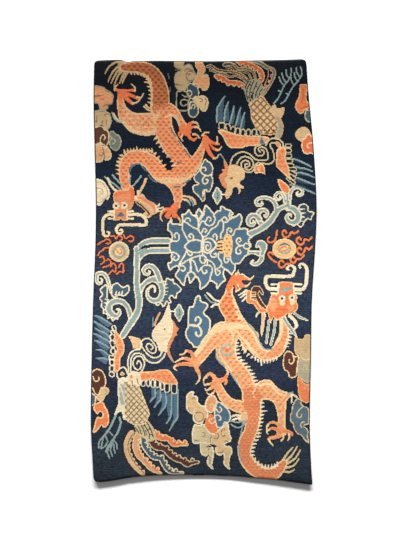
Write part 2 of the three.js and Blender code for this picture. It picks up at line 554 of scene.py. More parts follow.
    def feet(self, chart: KnotChart) -> None:
        """Paints the four clawed feet in clear orange, and the tufts of the elbows."""
        fingers = (
            ((-350, 727, 5), (-322, 723, 6), (-282, 725, 5)),
            ((-334, 716, 10), (-333, 690, 9)), ((-318, 712, 9), (-290, 704, 7), (-266, 692, 6)),
            ((-318, 704, 9), (-302, 686, 8), (-284, 672, 6)),
            ((-84, 572, 14), (-68, 560, 18)), ((-66, 566, 9), (-58, 588, 7), (-42, 597, 5)),
            ((-60, 566, 7), (-46, 578, 6), (-34, 576, 4)),
            ((-64, 552, 8), (-54, 534, 6), (-40, 526, 5), (-28, 534, 4)),
            ((-84, 560, 8), (-98, 552, 5), (-96, 540, 4)),
            ((4, 500, 9), (8, 520, 14), (4, 540, 8)), ((16, 526, 8), (38, 514, 6), (60, 510, 5)),
            ((14, 516, 8), (36, 494, 6), (52, 486, 5)), ((12, 504, 9), (22, 478, 8), (40, 454, 6)),
            ((-112, 262, 13), (-126, 240, 18), (-140, 228, 17)),
            ((-138, 246, 10), (-158, 246, 7), (-172, 226, 5)),
            ((-120, 228, 12), (-104, 218, 6), (-96, 208, 4)),
        )
        for finger in fingers:
            chart.lay(Stroke(6, *finger), Yarn.CORAL)
        chart.lay(Lobe(-44, 541, 5, 6), Yarn.NIGHT, halo=0)
        chart.lines(Yarn.NIGHT, 2.2, ((-148, 240), (-158, 228)), ((-128, 226), (-136, 212)),
                    ((22, 506), (36, 482)), halo=0)
        nails(
            chart, Yarn.STRAW,
            ((-356, 726), (-354, 736), (-343, 748)), ((-276, 722), (-274, 734), (-288, 749)),
            ((-266, 696), (-250, 697), (-240, 712)), ((-284, 673), (-266, 677), (-251, 693)),
            ((-42, 598), (-28, 594), (-19, 579)), ((-34, 578), (-20, 574), (-11, 560)),
            ((-42, 549), (-28, 546), (-16, 533)), ((-86, 546), (-90, 534), (-84, 523)),
            ((-4, 544), (4, 555), (20, 555)), ((54, 514), (54, 526), (53, 538)),
            ((52, 486), (62, 488), (72, 500)), ((40, 454), (52, 455), (60, 468)),
            ((-172, 228), (-172, 214), (-166, 203)), ((-158, 250), (-166, 244), (-170, 232)),
            ((-132, 212), (-128, 204), (-130, 196)), ((-100, 212), (-94, 204), (-96, 194)),
        )
        chart.lines(
            Yarn.STRAW, 4.2, ((-360, 632), (-350, 613), (-336, 602), (-318, 599)),
            ((-86, 301), (-66, 300), (-48, 295), (-37, 284), (-33, 270)),
            ((-82, 289), (-66, 285), (-57, 274)),
        )
        chart.lines(
            Yarn.SAGE, 2.8, ((-366, 636), (-360, 616), (-344, 600), (-326, 597)),
            ((-56, 290), (-45, 278), (-42, 264)), ((-62, 280), (-52, 266)),
        )

    def fins(self, chart: KnotChart) -> None:
        """Paints the pale fins along the back."""
        chart.comb(
            Yarn.STRAW, 4.2, ((-290, 795), (-277, 795), (-264, 794), (-251, 790), (-239, 784)),
            (2, -7),
        )
        chart.comb(
            Yarn.STRAW, 4.2,
            ((-222, 778), (-215, 766), (-212, 754, 1.5), (-210, 738), (-208, 722, 0.8),
             (-208, 706, 0.7), (-208, 690, 0.8), (-208, 675)), (-16, 2),
        )
        chart.lines(Yarn.STRAW, 3.4, ((-208, 642), (-222, 646), (-238, 660)),
                    ((-208, 652), (-222, 656), (-232, 668)))
        chart.comb(
            Yarn.STRAW, 4,
            ((-316, 476, 1.3), (-303, 482, 0.8), (-291, 484, 0.8), (-279, 485, 0.8),
             (-266, 486, 1.4), (-252, 485, 0.8), (-240, 485, 0.8), (-228, 484, 0.8),
             (-217, 482, 0.9), (-206, 478, 1.6)), (-1, 9), halo=0,
        )
        chart.comb(
            Yarn.STRAW, 4, ((-196, 470), (-184, 454), (-174, 438), (-160, 422)), (8, 6), halo=0,
        )
        chart.comb(
            Yarn.STRAW, 4,
            ((-326, 464, 0.8), (-333, 451, 0.8), (-337, 437), (-338, 422), (-337, 406),
             (-337, 390)), (-12, 3), halo=0,
        )
        chart.comb(
            Yarn.STRAW, 4, ((-190, 534), (-181, 518), (-170, 502), (-156, 484), (-140, 464)),
            (-9, -7),
        )
        chart.comb(Yarn.STRAW, 4, ((-124, 444), (-119, 426)), (-9, -4), halo=0)

    def head(self, chart: KnotChart) -> None:
        """Paints horns, hair, jaw, face and whiskers."""
        chart.lines(
            Yarn.SAGE, 3.6, ((-396, 380), (-374, 362), (-352, 346), (-332, 328)),
            ((-364, 386), (-346, 366), (-326, 344)), ((-250, 382), (-262, 366), (-279, 346)),
        )
        chart.line(Yarn.IVORY, 4.6, (-382, 372), (-375, 352), (-362, 334), (-346, 320))
        chart.line(Yarn.STRAW, 5, (-231, 370), (-238, 350), (-248, 332), (-258, 312))
        chart.line(Yarn.IVORY, 4, (-262, 322), (-262, 304))
        jaw = Patch(
            (-276, 300), (-258, 306), (-243, 311), (-228, 290), (-208, 280), (-194, 270),
            (-184, 252), (-186, 236), (-196, 229), (-206, 226), (-213, 217), (-224, 215),
            (-236, 221), (-241, 233), (-233, 240), (-248, 256), (-266, 268), (-274, 284),
        )
        chart.lay(jaw, Yarn.STRAW)
        chart.line(Yarn.TANGERINE, 6.5, (-268, 292, 4), (-246, 294), (-226, 279), (-206, 268),
                   (-196, 252), (-195, 238, 4), halo=0)
        chart.line(Yarn.PEACH, 2.4, (-256, 278), (-236, 264), (-218, 250), (-210, 234), halo=0)
        chart.line(Yarn.BROWN, 3.4, (-266, 277), (-244, 260), (-227, 243), (-218, 231),
                   (-224, 224, 2), halo=0)
        nails(chart, Yarn.IVORY, ((-192, 262), (-180, 264), (-176, 272)),
              ((-188, 252), (-174, 254), (-162, 256)), ((-190, 242), (-176, 242), (-166, 238)))
        face = [
            Patch((-362, 300), (-356, 318), (-336, 326), (-306, 328), (-286, 346), (-279, 326),
                (-274, 300), (-280, 272), (-292, 250), (-320, 250), (-352, 268)),
            Patch((-358, 250), (-304, 250), (-304, 212), (-312, 204), (-324, 205), (-331, 211),
                (-338, 205), (-350, 204), (-358, 212)),
        ]
        chart.lay(face, Yarn.TANGERINE, Yarn.STRAW, rim=3.5)
        for shape in (Stroke(8, (-291, 336, 3), (-284, 314), (-284, 286, 6)),
                      Stroke(6, (-352, 306), (-336, 314), (-312, 316))):
            chart.lay(shape, Yarn.CORAL, halo=0)
        chart.lay(Stroke(4, (-272, 300), (-268, 290)), Yarn.IVORY, halo=0)
        for x, y in ((-350, 263), (-317, 265)):
            chart.lay(Lobe(x, y, 14, 13), Yarn.IVORY, halo=2)
            chart.lay(Lobe(x, y, 5, 4.6), Yarn.NIGHT, halo=0)
        for x in (-358, -305):
            chart.line(Yarn.IVORY, 3.4, (x, 246), (x, 208), halo=0)
        chart.lay(Patch((-348, 221), (-314, 221), (-330, 240), bend=False), Yarn.SLATE, halo=0)
        for y in (241, 212):
            chart.lines(Yarn.IVORY, 4, ((-380, y), (-357, y)), ((-305, y), (-281, y)))
        chart.line(
            Yarn.IVORY, 6.2, (-360, 228), (-382, 228), (-396, 218), (-402, 204), (-402, 166),
            (-400, 150), (-391, 142, 5.4), (-380, 145, 5), (-377, 155, 4), (-385, 160, 3.4),
        )
        chart.line(
            Yarn.IVORY, 6.2, (-300, 228), (-258, 228), (-243, 222), (-230, 206), (-230, 194),
            (-241, 187), (-328, 187), (-344, 179), (-349, 166, 5.6), (-343, 154, 5),
            (-332, 151, 4.6), (-324, 160, 4.2), (-329, 169, 3.6), (-336, 165, 3),
        )


class LowerDragon(Motif):
    """The dragon of the lower half: orange body, face under the right-hand pearl."""

    NECK = (
        (318, -185, 13), (324, -238, 17), (319, -272, 20), (302, -305, 24), (276, -330, 22),
        (250, -334, 22), (222, -320, 25), (200, -296, 27), (182, -268, 30), (160, -240, 36),
    )
    CHEST = (
        (66, -200), (26, -234), (-2, -274), (-24, -306), (-46, -336), (-48, -366), (-26, -378),
        (-4, -362), (24, -330), (46, -306), (48, -332), (62, -362), (98, -398), (128, -436),
        (152, -480), (160, -520), (232, -520), (216, -470), (201, -440), (190, -412),
        (172, -386), (152, -362), (134, -344), (129, -316), (130, -288), (140, -266),
        (150, -286), (166, -318), (220, -262), (206, -234), (168, -202),
    )
    FORELEG = (
        (94, -52), (84, -84), (70, -106), (58, -130), (66, -158), (84, -186), (92, -206),
        (168, -206), (150, -168), (132, -126), (116, -86), (118, -60),
    )
    TRUNK = (
        (192, -500, 40), (197, -545, 34), (199, -572, 30), (195, -604, 30), (186, -640, 27),
        (168, -680, 29), (163, -720, 27), (174, -755, 28), (204, -787, 29), (245, -806, 26),
        (280, -805, 25), (306, -780, 21), (322, -762, 13),
    )
    HAUNCH = (
        (205, -455), (240, -431), (268, -434), (286, -454), (312, -474), (356, -490),
        (332, -515), (328, -560), (326, -610), (330, -650), (292, -650), (296, -600),
        (292, -560), (276, -520), (240, -512), (200, -520),
    )

    def draw(self, chart: KnotChart) -> None:
        """Paints tassel, flesh, feet, fins and head from back to front."""
        fronds(
            chart, Yarn.SAND, 5.5, ((314, -758), (332, -728), (356, -702)),
            ((318, -764), (350, -736), (374, -697)), ((320, -772), (364, -746), (386, -710)),
            ((320, -784), (358, -774), (380, -747)), ((312, -796), (344, -799), (362, -788)),
        )
        self.flesh(chart)
        self.feet(chart)
        self.fins(chart)
        self.head(chart)

    def flesh(self, chart: KnotChart) -> None:
        """Paints body and limbs as one shape, with its pale edges, belly and spots."""
        trunk = [
            Stroke(25, *self.NECK), Stroke(36, *self.TRUNK), Patch(*self.CHEST),
            Patch(*self.HAUNCH), Patch(*self.FORELEG),
            Stroke(18, (53, -440, 14), (64, -470, 17), (82, -502, 20), (110, -528, 22),
                (156, -542, 27)),
        ]
        chart.lay(trunk, Yarn.MELON, Yarn.PALE, rim=5.5)
        for shape in (Patch(*self.FORELEG), Stroke(36, *self.TRUNK), Stroke(25, *self.NECK[:5])):
            chart.lay(shape, Yarn.ORANGE, halo=0, only=[Yarn.MELON])
        chart.lay(Stroke(31, *self.TRUNK), Yarn.TANGERINE, halo=0, only=[Yarn.ORANGE])
        chart.spots(trunk, Yarn.CORAL, (17, 11), (5, 3.4), [Yarn.TANGERINE])
        chart.spots(trunk, Yarn.MELON, (17, 13), (3.4, 2.2), [Yarn.TANGERINE], (8, 5))
        chart.spots(trunk[4], Yarn.EMBER, (26, 15), (7, 4.6), [Yarn.ORANGE])
        chart.spots(trunk, Yarn.FLAME, (25, 13), (6.4, 3.8), [Yarn.ORANGE])
        chart.spots(trunk, Yarn.FLAME, (25, 14), (6.2, 4), [Yarn.MELON], (6, 3))
        chart.spots(trunk, Yarn.ORANGE, (25, 14), (5, 3), [Yarn.MELON], (14, 8))
        belly = [
            Stroke(8, (110, -80, 3), (122, -114, 7), (136, -150, 11), (148, -188, 13)),
            Stroke(12, (56, -222, 9), (100, -216), (140, -216), (172, -224, 8)),
            Stroke(6, (172, -216), (196, -244), (212, -276), (232, -304, 5), (256, -320, 3)),
            Stroke(5, (98, -232, 3), (112, -240), (118, -262, 4), (112, -286, 3)),
            Stroke(6, (150, -262, 3), (170, -282), (190, -310), (214, -332, 4)),
            Stroke(11, (66, -216, 8), (30, -244), (8, -274), (-14, -304), (-30, -334, 6)),
            Stroke(5, (60, -240), (100, -226), (134, -240, 4), (152, -268, 3)),
            Stroke(4, (70, -300), (66, -330), (84, -362), (112, -396, 3)),
            Stroke(5, (88, -470), (104, -494), (130, -510), (158, -514, 4)),
            Stroke(5, (226, -456), (250, -446), (272, -456), (300, -486), (330, -496, 3)),
            Stroke(4, (206, -462), (198, -490), (206, -508, 3)),
        ]
        chart.lay(belly, Yarn.PALE, halo=0,
                  only=[Yarn.MELON, Yarn.ORANGE, Yarn.FLAME, Yarn.TANGERINE])
        chart.lines(
            Yarn.MIST, 4.2, ((74, -298), (69, -316), (82, -332), (102, -333), (113, -321)),
            ((84, -297), (98, -291), (109, -298)), halo=0,
        )
        chart.lines(
            Yarn.SAGE, 2.8, ((50, -318), (50, -340), (66, -364), (84, -380)),
            ((98, -394), (116, -418), (136, -448)), ((176, -206), (204, -238), (222, -276)),
            ((226, -284), (240, -306), (264, -312), (276, -308)), ((158, -600), (148, -650)),
            ((140, -690), (142, -730), (152, -756)), halo=0,
        )
        chart.lay(Lobe(92, -312, 7, 6), Yarn.CORAL, halo=0)

    def feet(self, chart: KnotChart) -> None:
        """Paints the four clawed feet in clear orange, and the tufts of the elbows."""
        fingers = (
            ((100, -66, 11), (108, -48, 13), (124, -28, 16)),
            ((130, -34, 13), (130, -60, 6), (129, -80, 4)),
            ((130, -26, 16), (152, -24, 11), (182, -31, 4.6)),
            ((140, -36, 9), (150, -54, 9), (168, -59, 5)), ((-30, -368, 16), (-42, -360, 14)),
            ((-38, -348, 8), (-50, -322, 7), (-70, -316, 5)),
            ((-46, -355, 8), (-66, -348, 7), (-86, -345, 5)),
            ((-46, -370, 8), (-84, -369, 7), (-112, -374, 5)),
            ((-30, -384, 8), (-20, -404, 7), (-16, -422, 5)), ((54, -440, 15), (46, -438, 13)),
            ((46, -430, 10), (38, -416, 8), (26, -408, 7), (13, -414, 6), (10, -424, 4)),
            ((64, -436, 10), (82, -428, 8), (92, -414, 6), (96, -406, 4)),
            ((86, -424, 6), (90, -440, 6), (84, -450, 4)),
            ((46, -444, 10), (30, -448, 6), (16, -448, 4)),
            ((46, -452, 9), (34, -462, 7), (24, -468, 4)),
            ((52, -456, 9), (46, -472, 6), (38, -484, 4)),
            ((312, -638, 13), (304, -618, 9), (288, -604, 6), (268, -602, 5), (257, -612, 4)),
            ((306, -642, 10), (292, -630, 7), (274, -625, 6), (262, -630, 4)),
            ((304, -652, 11), (286, -661, 8), (268, -664, 7), (258, -668, 5)),
            ((318, -636, 10), (334, -638, 8), (350, -645, 6), (353, -654, 4)),
        )
        for i, finger in enumerate(fingers):
            chart.lay(Stroke(6, *finger), Yarn.FLAME if i < 4 else Yarn.ORANGE)
        for i in (5, 7, 11, 13, 17, 19):
            chart.line(Yarn.FLAME, 4, *(station[:2] for station in fingers[i]), halo=0)
        chart.lay(Stroke(2.4, (26, -424), (30, -434)), Yarn.NIGHT, halo=0)
        chart.lines(
            Yarn.CREAM, 2.4,
            ((126, -8), (138, -2), (144, -10), (158, -11), (168, -20), (180, -26)),
            ((136, -50), (138, -58), (143, -67)), halo=0
        )
        nails(
            chart, Yarn.PALE, ((180, -31), (191, -27), (199, -17)),
            ((168, -57), (178, -53), (185, -44)), ((130, -78), (138, -74), (148, -67)),
            ((128, -10), (134, -5), (138, 5)), ((-70, -318), (-80, -328), (-96, -332)),
            ((-84, -346), (-98, -352), (-113, -361)), ((-112, -376), (-120, -384), (-108, -394)),
            ((-16, -420), (-20, -436), (-31, -449)), ((10, -420), (2, -426), (0, -436)),
            ((18, -448), (6, -452), (0, -444)), ((24, -468), (12, -474), (5, -466)),
            ((38, -485), (24, -491), (13, -484)), ((96, -408), (96, -398), (89, -394)),
            ((257, -612), (251, -622), (252, -634)), ((262, -630), (252, -640), (257, -649)),
            ((260, -670), (266, -682), (277, -694)), ((316, -650), (318, -664), (308, -676)),
            ((340, -648), (342, -662), (336, -673)),
        )
        chart.lay(
            Patch((174, -570), (174, -590), (160, -604), (144, -598), (134, -586), (134, -574),
                (150, -568)),
            Yarn.STRAW, halo=3
        )
        chart.lines(
            Yarn.CREAM, 4, ((62, -118), (44, -112), (30, -100), (14, -84)),
            ((60, -132), (42, -132), (32, -141)), ((345, -484), (358, -492), (372, -501)),
            ((352, -500), (351, -521)), ((146, -576), (130, -573), (115, -577)),
            ((144, -586), (130, -587), (115, -593)),
        )
        chart.lines(
            Yarn.SAGE, 3.2, ((50, -123), (30, -121), (16, -109), (5, -92)),
            ((166, -596), (150, -600), (130, -600), (108, -597)),
            ((168, -602), (152, -618), (132, -622), (110, -610)), ((336, -486), (356, -482)),
        )

    def fins(self, chart: KnotChart) -> None:
        """Paints the pale fins along the back."""
        chart.comb(
            Yarn.CREAM, 4, ((338, -246), (338, -259), (334, -272), (330, -285), (324, -297)),
            (14, -3),
        )
        chart.comb(
            Yarn.CREAM, 4,
            ((290, -343), (278, -348), (266, -352), (254, -355), (242, -356), (230, -355, 1.9),
             (218, -352), (206, -344)), (0, -11),
        )
        chart.comb(
            Yarn.CREAM, 4,
            ((131, -284, 0.7), (130, -298, 0.8), (130, -312, 0.9), (131, -327), (138, -342),
             (149, -354), (161, -367), (172, -380), (181, -394), (190, -408), (197, -422),
             (203, -436), (208, -450, 0.8)), (14, 1),
        )
        chart.comb(
            Yarn.CREAM, 3.6, ((152, -292), (160, -306), (168, -318), (180, -330), (194, -340)),
            (-8, -7),
        )
        chart.comb(
            Yarn.CREAM, 4,
            ((228, -525), (230, -540), (231, -557, 1.6), (229, -572), (226, -587), (224, -602),
             (220, -616), (219, -631), (218, -645), (214, -659), (206, -673), (198, -688),
             (194, -703), (190, -718), (190, -733)), (13, 1),
        )
        chart.comb(
            Yarn.CREAM, 4,
            ((205, -758), (218, -770), (232, -780), (245, -784), (258, -784), (271, -784),
             (283, -780), (293, -772)), (1, 15),
        )

    def head(self, chart: KnotChart) -> None:
        """Paints horns, hair, jaw, face and whiskers."""
        chart.lay(Stroke(7, (238, -166), (237, -196), (234, -228, 6), (231, -256, 2.5)),
                  Yarn.MELON, Yarn.CREAM, rim=3)
        chart.lines(Yarn.CREAM, 3.6, ((210, -178), (216, -166), (238, -160), (247, -176)))
        for path in (
            ((260, -196), (257, -232), (250, -284)), ((285, -194), (281, -240), (268, -290)),
        ):
            chart.lay(Stroke(5.5, *path), Yarn.SAGE, Yarn.CREAM, rim=2.6)
        chart.lay(Stroke(7, (308, -192), (311, -226), (305, -258), (288, -288, 5)), Yarn.PALE,
                  halo=0)
        chart.lay(Stroke(8.5, (320, -186), (336, -212), (356, -238), (372, -262, 2.5)), Yarn.SAGE,
                  Yarn.CREAM, rim=4)
        chart.lay(Stroke(7, (342, -176), (362, -194), (370, -216), (358, -236, 2.5)), Yarn.CREAM)
        chart.lay(Stroke(5.5, (364, -168), (388, -184), (416, -194, 3)), Yarn.SAGE, Yarn.CREAM,
                  rim=2.6)
        chart.lay(
            Stroke(9, (266, -150, 11), (248, -152, 10), (231, -157), (217, -141), (203, -122),
                (180, -117), (179, -98), (180, -80, 8)),
            Yarn.FLAME, Yarn.PALE, rim=3.4,
        )
        nails(chart, Yarn.CREAM, ((170, -74), (156, -84), (140, -93)),
              ((168, -88), (156, -97), (145, -104)), ((168, -103), (162, -110), (154, -118)))
        chart.lay(
            [Stroke(9.5, (205, -76), (210, -94), (221, -114), (233, -132), (246, -144, 7)),
                Patch((189, -74), (198, -58), (222, -56), (228, -70), (220, -84), (216, -108),
                (190, -108)), Stroke(7.5, (214, -66), (226, -72), (235, -88, 5.6))],
            Yarn.BROWN, Yarn.PALE, rim=3,
        )
        for y in (-82, -90, -98):
            chart.line(Yarn.PALE, 2.2, (190, y), (208, y), halo=0)
        face = [
            Patch((296, -44), (358, -44), (361, -84), (370, -94), (374, -106), (370, -118),
                (376, -134), (374, -150), (362, -162), (348, -171), (336, -168), (322, -178),
                (308, -187), (296, -194), (286, -191), (279, -182), (274, -192), (266, -206),
                (260, -184), (256, -166), (250, -148), (261, -118), (269, -96), (278, -87),
                (294, -88)),
            Lobe(312, -50, 14, 9), Lobe(342, -50, 14, 9),
        ]
        chart.lay(face, Yarn.FLAME, Yarn.PALE, rim=3.8)
        chart.lay([Lobe(278, -132, 17, 28), Lobe(346, -146, 16, 12)], Yarn.ORANGE, halo=0,
                  only=[Yarn.FLAME])
        chart.lines(Yarn.CORAL, 6, ((330, -90), (329, -126)), ((292, -150), (330, -152)),
                    ((290, -180), (318, -168)), halo=0)
        chart.lay(Stroke(7, (315, -73), (326, -74), (333, -68), (344, -67)), Yarn.SAGE, halo=0)
        for x, y in ((313, -107), (353, -104)):
            chart.lay(Lobe(x + 1, y - 18, 11, 12), Yarn.PALE, halo=0)
            chart.lay(Lobe(x, y, 13.5, 13), Yarn.CREAM, halo=0)
            chart.lay(Lobe(x, y, 5, 5), Yarn.NIGHT, halo=0)
        chart.lines(Yarn.CREAM, 3.4, ((300, -52), (298, -84)), ((359, -52), (361, -84)), halo=0)
        for y in (-50, -86):
            chart.lines(Yarn.CREAM, 4.2, ((271, y), (297, y)), ((361, y), (390, y)))
        chart.line(
            Yarn.CREAM, 7, (292, -70), (262, -68), (250, -55), (247, -35), (258, -19), (345, -18),
            (360, -2), (363, 14, 6), (352, 24, 5), (338, 21, 4.4), (332, 12, 4.4), (340, 8, 4),
        )
        chart.line(
            Yarn.CREAM, 7, (366, -70), (395, -70), (408, -50), (412, -20), (412, 8),
            (405, 25, 6), (392, 31, 5), (381, 25, 4.4), (386, 16, 4),
        )


@dataclass(frozen=True)
class Feather:
    """One long feather of a wing: a pale quill with a blue vane along one side."""

    width: float
    quill: tuple[Point, ...]
    vane: Yarn = Yarn.STEEL
    half: float = 3.2
    tip: float = 2.4
    fade: float = 1.7  # the vane narrows over the last 1 / fade of the quill

    def draw(self, chart: KnotChart) -> None:
        """Paints the vane, left of the quill where its width is positive, then the quill."""
        line = smooth(self.quill)
        way = np.gradient(line, axis=0)
        way /= np.hypot(*way.T)[:, None]
        fade = np.minimum(self.fade * np.linspace(1, 0, len(line)), 1)[:, None]
        far = line + np.stack([-way[:, 1], way[:, 0]], 1) * self.width * fade
        chart.lay(Patch(*line, *far[::-1], bend=False), self.vane, halo=0)
        chart.line(Yarn.SAGE, self.half, *self.quill[:-1], (*self.quill[-1], self.tip), halo=0)


@dataclass(frozen=True)
class Ladder:
    """The row of pale arches at the foot of a wing's feathers, with dark holes.

    Each hole is named by its two ends and its half-width.
    """

    holes: tuple[Point, ...]
    rim: float = 4.6
    yarn: Yarn = Yarn.CREAM

    def draw(self, chart: KnotChart) -> None:
        """Paints all the arches as one pale shape, then their holes."""
        for grow, yarn in ((self.rim, self.yarn), (0, Yarn.NAVY)):
            chart.lay([Stroke(half + grow, (x0, y0), (x1, y1)) for x0, y0, x1, y1, half
                       in self.holes], yarn, halo=2 * grow / self.rim)


@dataclass(frozen=True)
class Plume:
    """One band of a tail: a coloured core with pale edges, scalloped on one side."""

    core: Yarn
    half: float
    path: tuple[Point, ...]
    scallop: float = 0.0
    edge: Yarn = Yarn.CREAM
    rim: float = 4.0
    narrowing: float = 0.45
    pitch: float = 22.0
    bulge: float = 9.5
    free_root: float = 12.0
    free_tip: float = 8.0

    def draw(self, chart: KnotChart) -> None:
        """Paints the band and a row of round scallops along its left side as one shape."""
        half = self.half + self.rim
        share = np.linspace(0, 1, len(self.path))
        widths = half * (1 - self.narrowing * share**4)
        stations = [(*place, width) for place, width in zip(self.path, widths)]
        shape: list[Part] = [Stroke(half, *stations)]
        spine = smooth(self.path)
        total = np.concatenate([[0], np.cumsum(np.hypot(*np.diff(spine, axis=0).T))])
        places = np.arange(self.free_root, total[-1] - self.free_tip, self.pitch)
        for at in places if self.scallop else ():
            x, y = (np.interp(at, total, column) for column in spine.T)
            dx, dy = (np.interp(at + 4, total, column) for column in spine.T)
            dx, dy = dx - x, dy - y
            off = (self.half + 2) * self.scallop / max(math.hypot(dx, dy), 1e-6)
            shape.append(Lobe(x - dy * off, y + dx * off, self.bulge, self.bulge))
        chart.lay(shape, self.core, self.edge, rim=self.rim)


class Phoenix(Motif):
    """What the two birds share."""

    def draw(self, chart: KnotChart) -> None:
        """Paints tail, legs, body, wings, scrolls and head from back to front."""
        for step in (self.tail, self.legs, self.body, self.left_wing, self.right_wing,
                     self.scrolls, self.head):
            step(chart)

    def bar(self, chart: KnotChart, *outline: Point) -> None:
        """Paints the orange bar of a wing, with darker blocks across it."""
        shape = Patch(*outline)
        chart.lay(shape, Yarn.ORANGE, Yarn.PALE, rim=3.6)
        chart.spots(shape, Yarn.FLAME, (21, 20), (8, 9), [Yarn.ORANGE])
        chart.spots(shape, Yarn.CORAL, (21, 30), (4.6, 8), [Yarn.FLAME])

    def tuft(self, chart: KnotChart, base: Yarn, hair: Yarn, outline: tuple[Point, ...],
             *hairs: tuple[Point, ...]) -> None:
        """Paints the root of a tail: short dark hairs over a paler ground."""
        chart.lay(Patch(*outline), base, halo=3)
        chart.lines(hair, 1.9, *hairs, halo=0)


class UpperPhoenix(Phoenix):
    """The bird of the upper half, flying down the right side to its beak at the middle."""

    def tail(self, chart: KnotChart) -> None:
        """Paints the five plumes that fan out to the upper edge."""
        for plume in (
            Plume(Yarn.SLATE, 4, ((196, 842), (228, 832), (252, 816), (276, 806), (281, 788),
                (270, 760), (250, 724), (238, 706)), 0, Yarn.BEIGE, 4.5),
            Plume(Yarn.NIGHT, 3, ((262, 806), (263, 784), (252, 756), (240, 730)), 1.0, Yarn.PEACH,
                3.5),
            Plume(Yarn.EMBER, 5, ((136, 840), (170, 834), (202, 820), (226, 804), (236, 782),
                (230, 760), (212, 744)), -1.0, Yarn.SAND, 4),
            Plume(Yarn.NIGHT, 2.2, ((92, 817), (110, 812), (124, 800), (150, 800), (174, 794),
                (188, 774), (190, 744)), 0, Yarn.BEIGE, 3),
            Plume(Yarn.WEB, 2.8, ((106, 830), (122, 826), (136, 812), (160, 812), (186, 805),
                (202, 790), (206, 764), (200, 736)), 0, Yarn.BEIGE, 3.6),
            Plume(Yarn.DUSK, 5, ((84, 826), (100, 830), (116, 827)), 0, Yarn.BEIGE, 3.8),
            Plume(Yarn.DUSK, 2.2, ((26, 806), (38, 803), (54, 795), (80, 790), (104, 778),
                (124, 782), (146, 776), (168, 758), (178, 744)), 0, Yarn.BEIGE, 3.2),
            Plume(Yarn.NIGHT, 2.4, ((16, 819), (30, 822), (52, 807), (80, 801), (106, 799),
                (136, 793), (164, 779), (188, 750)), 0, Yarn.BEIGE, 3.6),
            Plume(Yarn.EMBER, 5.5, ((50, 780), (76, 774), (98, 758), (126, 756), (148, 752),
                (172, 738)), -1.0, Yarn.SAND, 4),
        ):
            plume.draw(chart)
        self.tuft(
            chart, Yarn.GREY, Yarn.NIGHT,
            ((160, 738), (168, 702), (178, 676), (204, 676), (216, 700), (240, 704), (236, 744),
                (214, 768), (184, 764)),
            ((177, 688), (171, 712), (177, 738), (188, 760)),
            ((187, 682), (183, 708), (189, 736), (200, 762)),
            ((197, 686), (196, 710), (203, 734), (213, 757)),
            ((208, 696), (210, 716), (219, 734), (227, 748)), ((222, 706), (226, 720), (236, 730)),
            ((167, 732), (170, 746), (180, 760)), ((192, 692), (191, 704)),
            ((172, 700), (182, 696)), ((190, 716), (200, 712)), ((206, 742), (214, 738)),
            ((180, 748), (190, 744)),
        )

    def legs(self, chart: KnotChart) -> None:
        """Paints the two thin legs with their spread toes."""
        chart.lines(
            Yarn.SAGE, 2.9,
            ((280, 672), (297, 692), (308, 714), (320, 740), (338, 764), (348, 786), (350, 812)),
            ((317, 748), (306, 762), (302, 778)), ((328, 756), (316, 776), (313, 794)),
            ((342, 772), (330, 788), (330, 806)), ((310, 718), (298, 724)),
            ((308, 670), (326, 684), (338, 706), (354, 734), (374, 758), (390, 782), (392, 800),
             (386, 818)),
            ((362, 746), (352, 758), (350, 774)), ((374, 760), (364, 778), (362, 794)),
            ((386, 776), (372, 796), (370, 814)), ((340, 706), (330, 712)),
        )

    def body(self, chart: KnotChart) -> None:
        """Paints the scaled body, the flank and the hips."""
        trunk = Patch(
            (180, 672), (186, 645), (190, 610), (204, 582), (213, 556), (256, 546), (298, 552),
            (306, 582), (288, 612), (282, 640), (266, 662), (250, 684), (232, 704), (206, 688),
        )
        chart.lay(trunk, Yarn.STRAW, Yarn.GOLD, rim=4)
        chart.net(trunk, Yarn.TAUPE, (27, 28), [Yarn.STRAW], 2.9, (213, 671))
        chart.spots(trunk, Yarn.AMBER, (27, 14), (6.4, 5.4), [Yarn.STRAW, Yarn.TAUPE], (213, 671))
        hips = Patch((268, 640), (272, 660), (284, 668), (293, 654), (306, 654), (322, 656),
                     (322, 640), (312, 618), (298, 610), (284, 618))
        chart.lay(hips, Yarn.GOLD)
        flank = Patch((284, 620), (302, 618), (314, 600), (319, 580), (316, 552), (304, 532),
                      (282, 530), (292, 560), (296, 590))
        chart.lay(flank, Yarn.GREY, Yarn.BEIGE, rim=5)

    def left_wing(self, chart: KnotChart) -> None:
        """Paints the wing that points left: feathers, ladder and orange bar."""
        for width, *quill in (
            (-24, (53, 598), (53, 648), (62, 666), (72, 684), (84, 701)),
            (-18, (82, 600), (84, 632), (89, 655), (99, 678)),
            (-14, (104, 592), (112, 622), (117, 642), (121, 660)),
            (-15, (127, 584), (135, 612), (140, 634), (148, 654)),
            (-14, (147, 572), (152, 600), (158, 620), (164, 636)),
        ):
            Feather(width, tuple(quill)).draw(chart)
        Ladder(((68, 588, 68, 574, 5), (77, 588, 77, 574, 5), (96, 582, 102, 562, 6),
                (118, 571, 114, 556, 6.4), (137, 565, 134, 551, 6.2), (157, 560, 156, 550, 6.2),
                (179, 560, 178, 550, 6), (202, 560, 201, 550, 6.2), (217, 560, 221, 550, 4.6)),
               4.4, Yarn.SAND).draw(chart)
        chart.spots(Patch((225, 575), (300, 575), (300, 545), (225, 545)), Yarn.BROWN, (18, 12),
                    (5, 3.4), [Yarn.STRAW, Yarn.AMBER, Yarn.TAUPE])
        self.bar(chart, (56, 562), (72, 545), (85, 520), (98, 500), (114, 493), (150, 493),
                 (172, 500), (210, 504), (240, 509), (258, 520), (262, 532), (245, 541),
                 (200, 541), (150, 546), (110, 556), (86, 564), (70, 566))
        chart.lay(Patch((232, 540), (222, 513), (243, 511)), Yarn.SLATE, Yarn.SAGE, rim=3, halo=0)

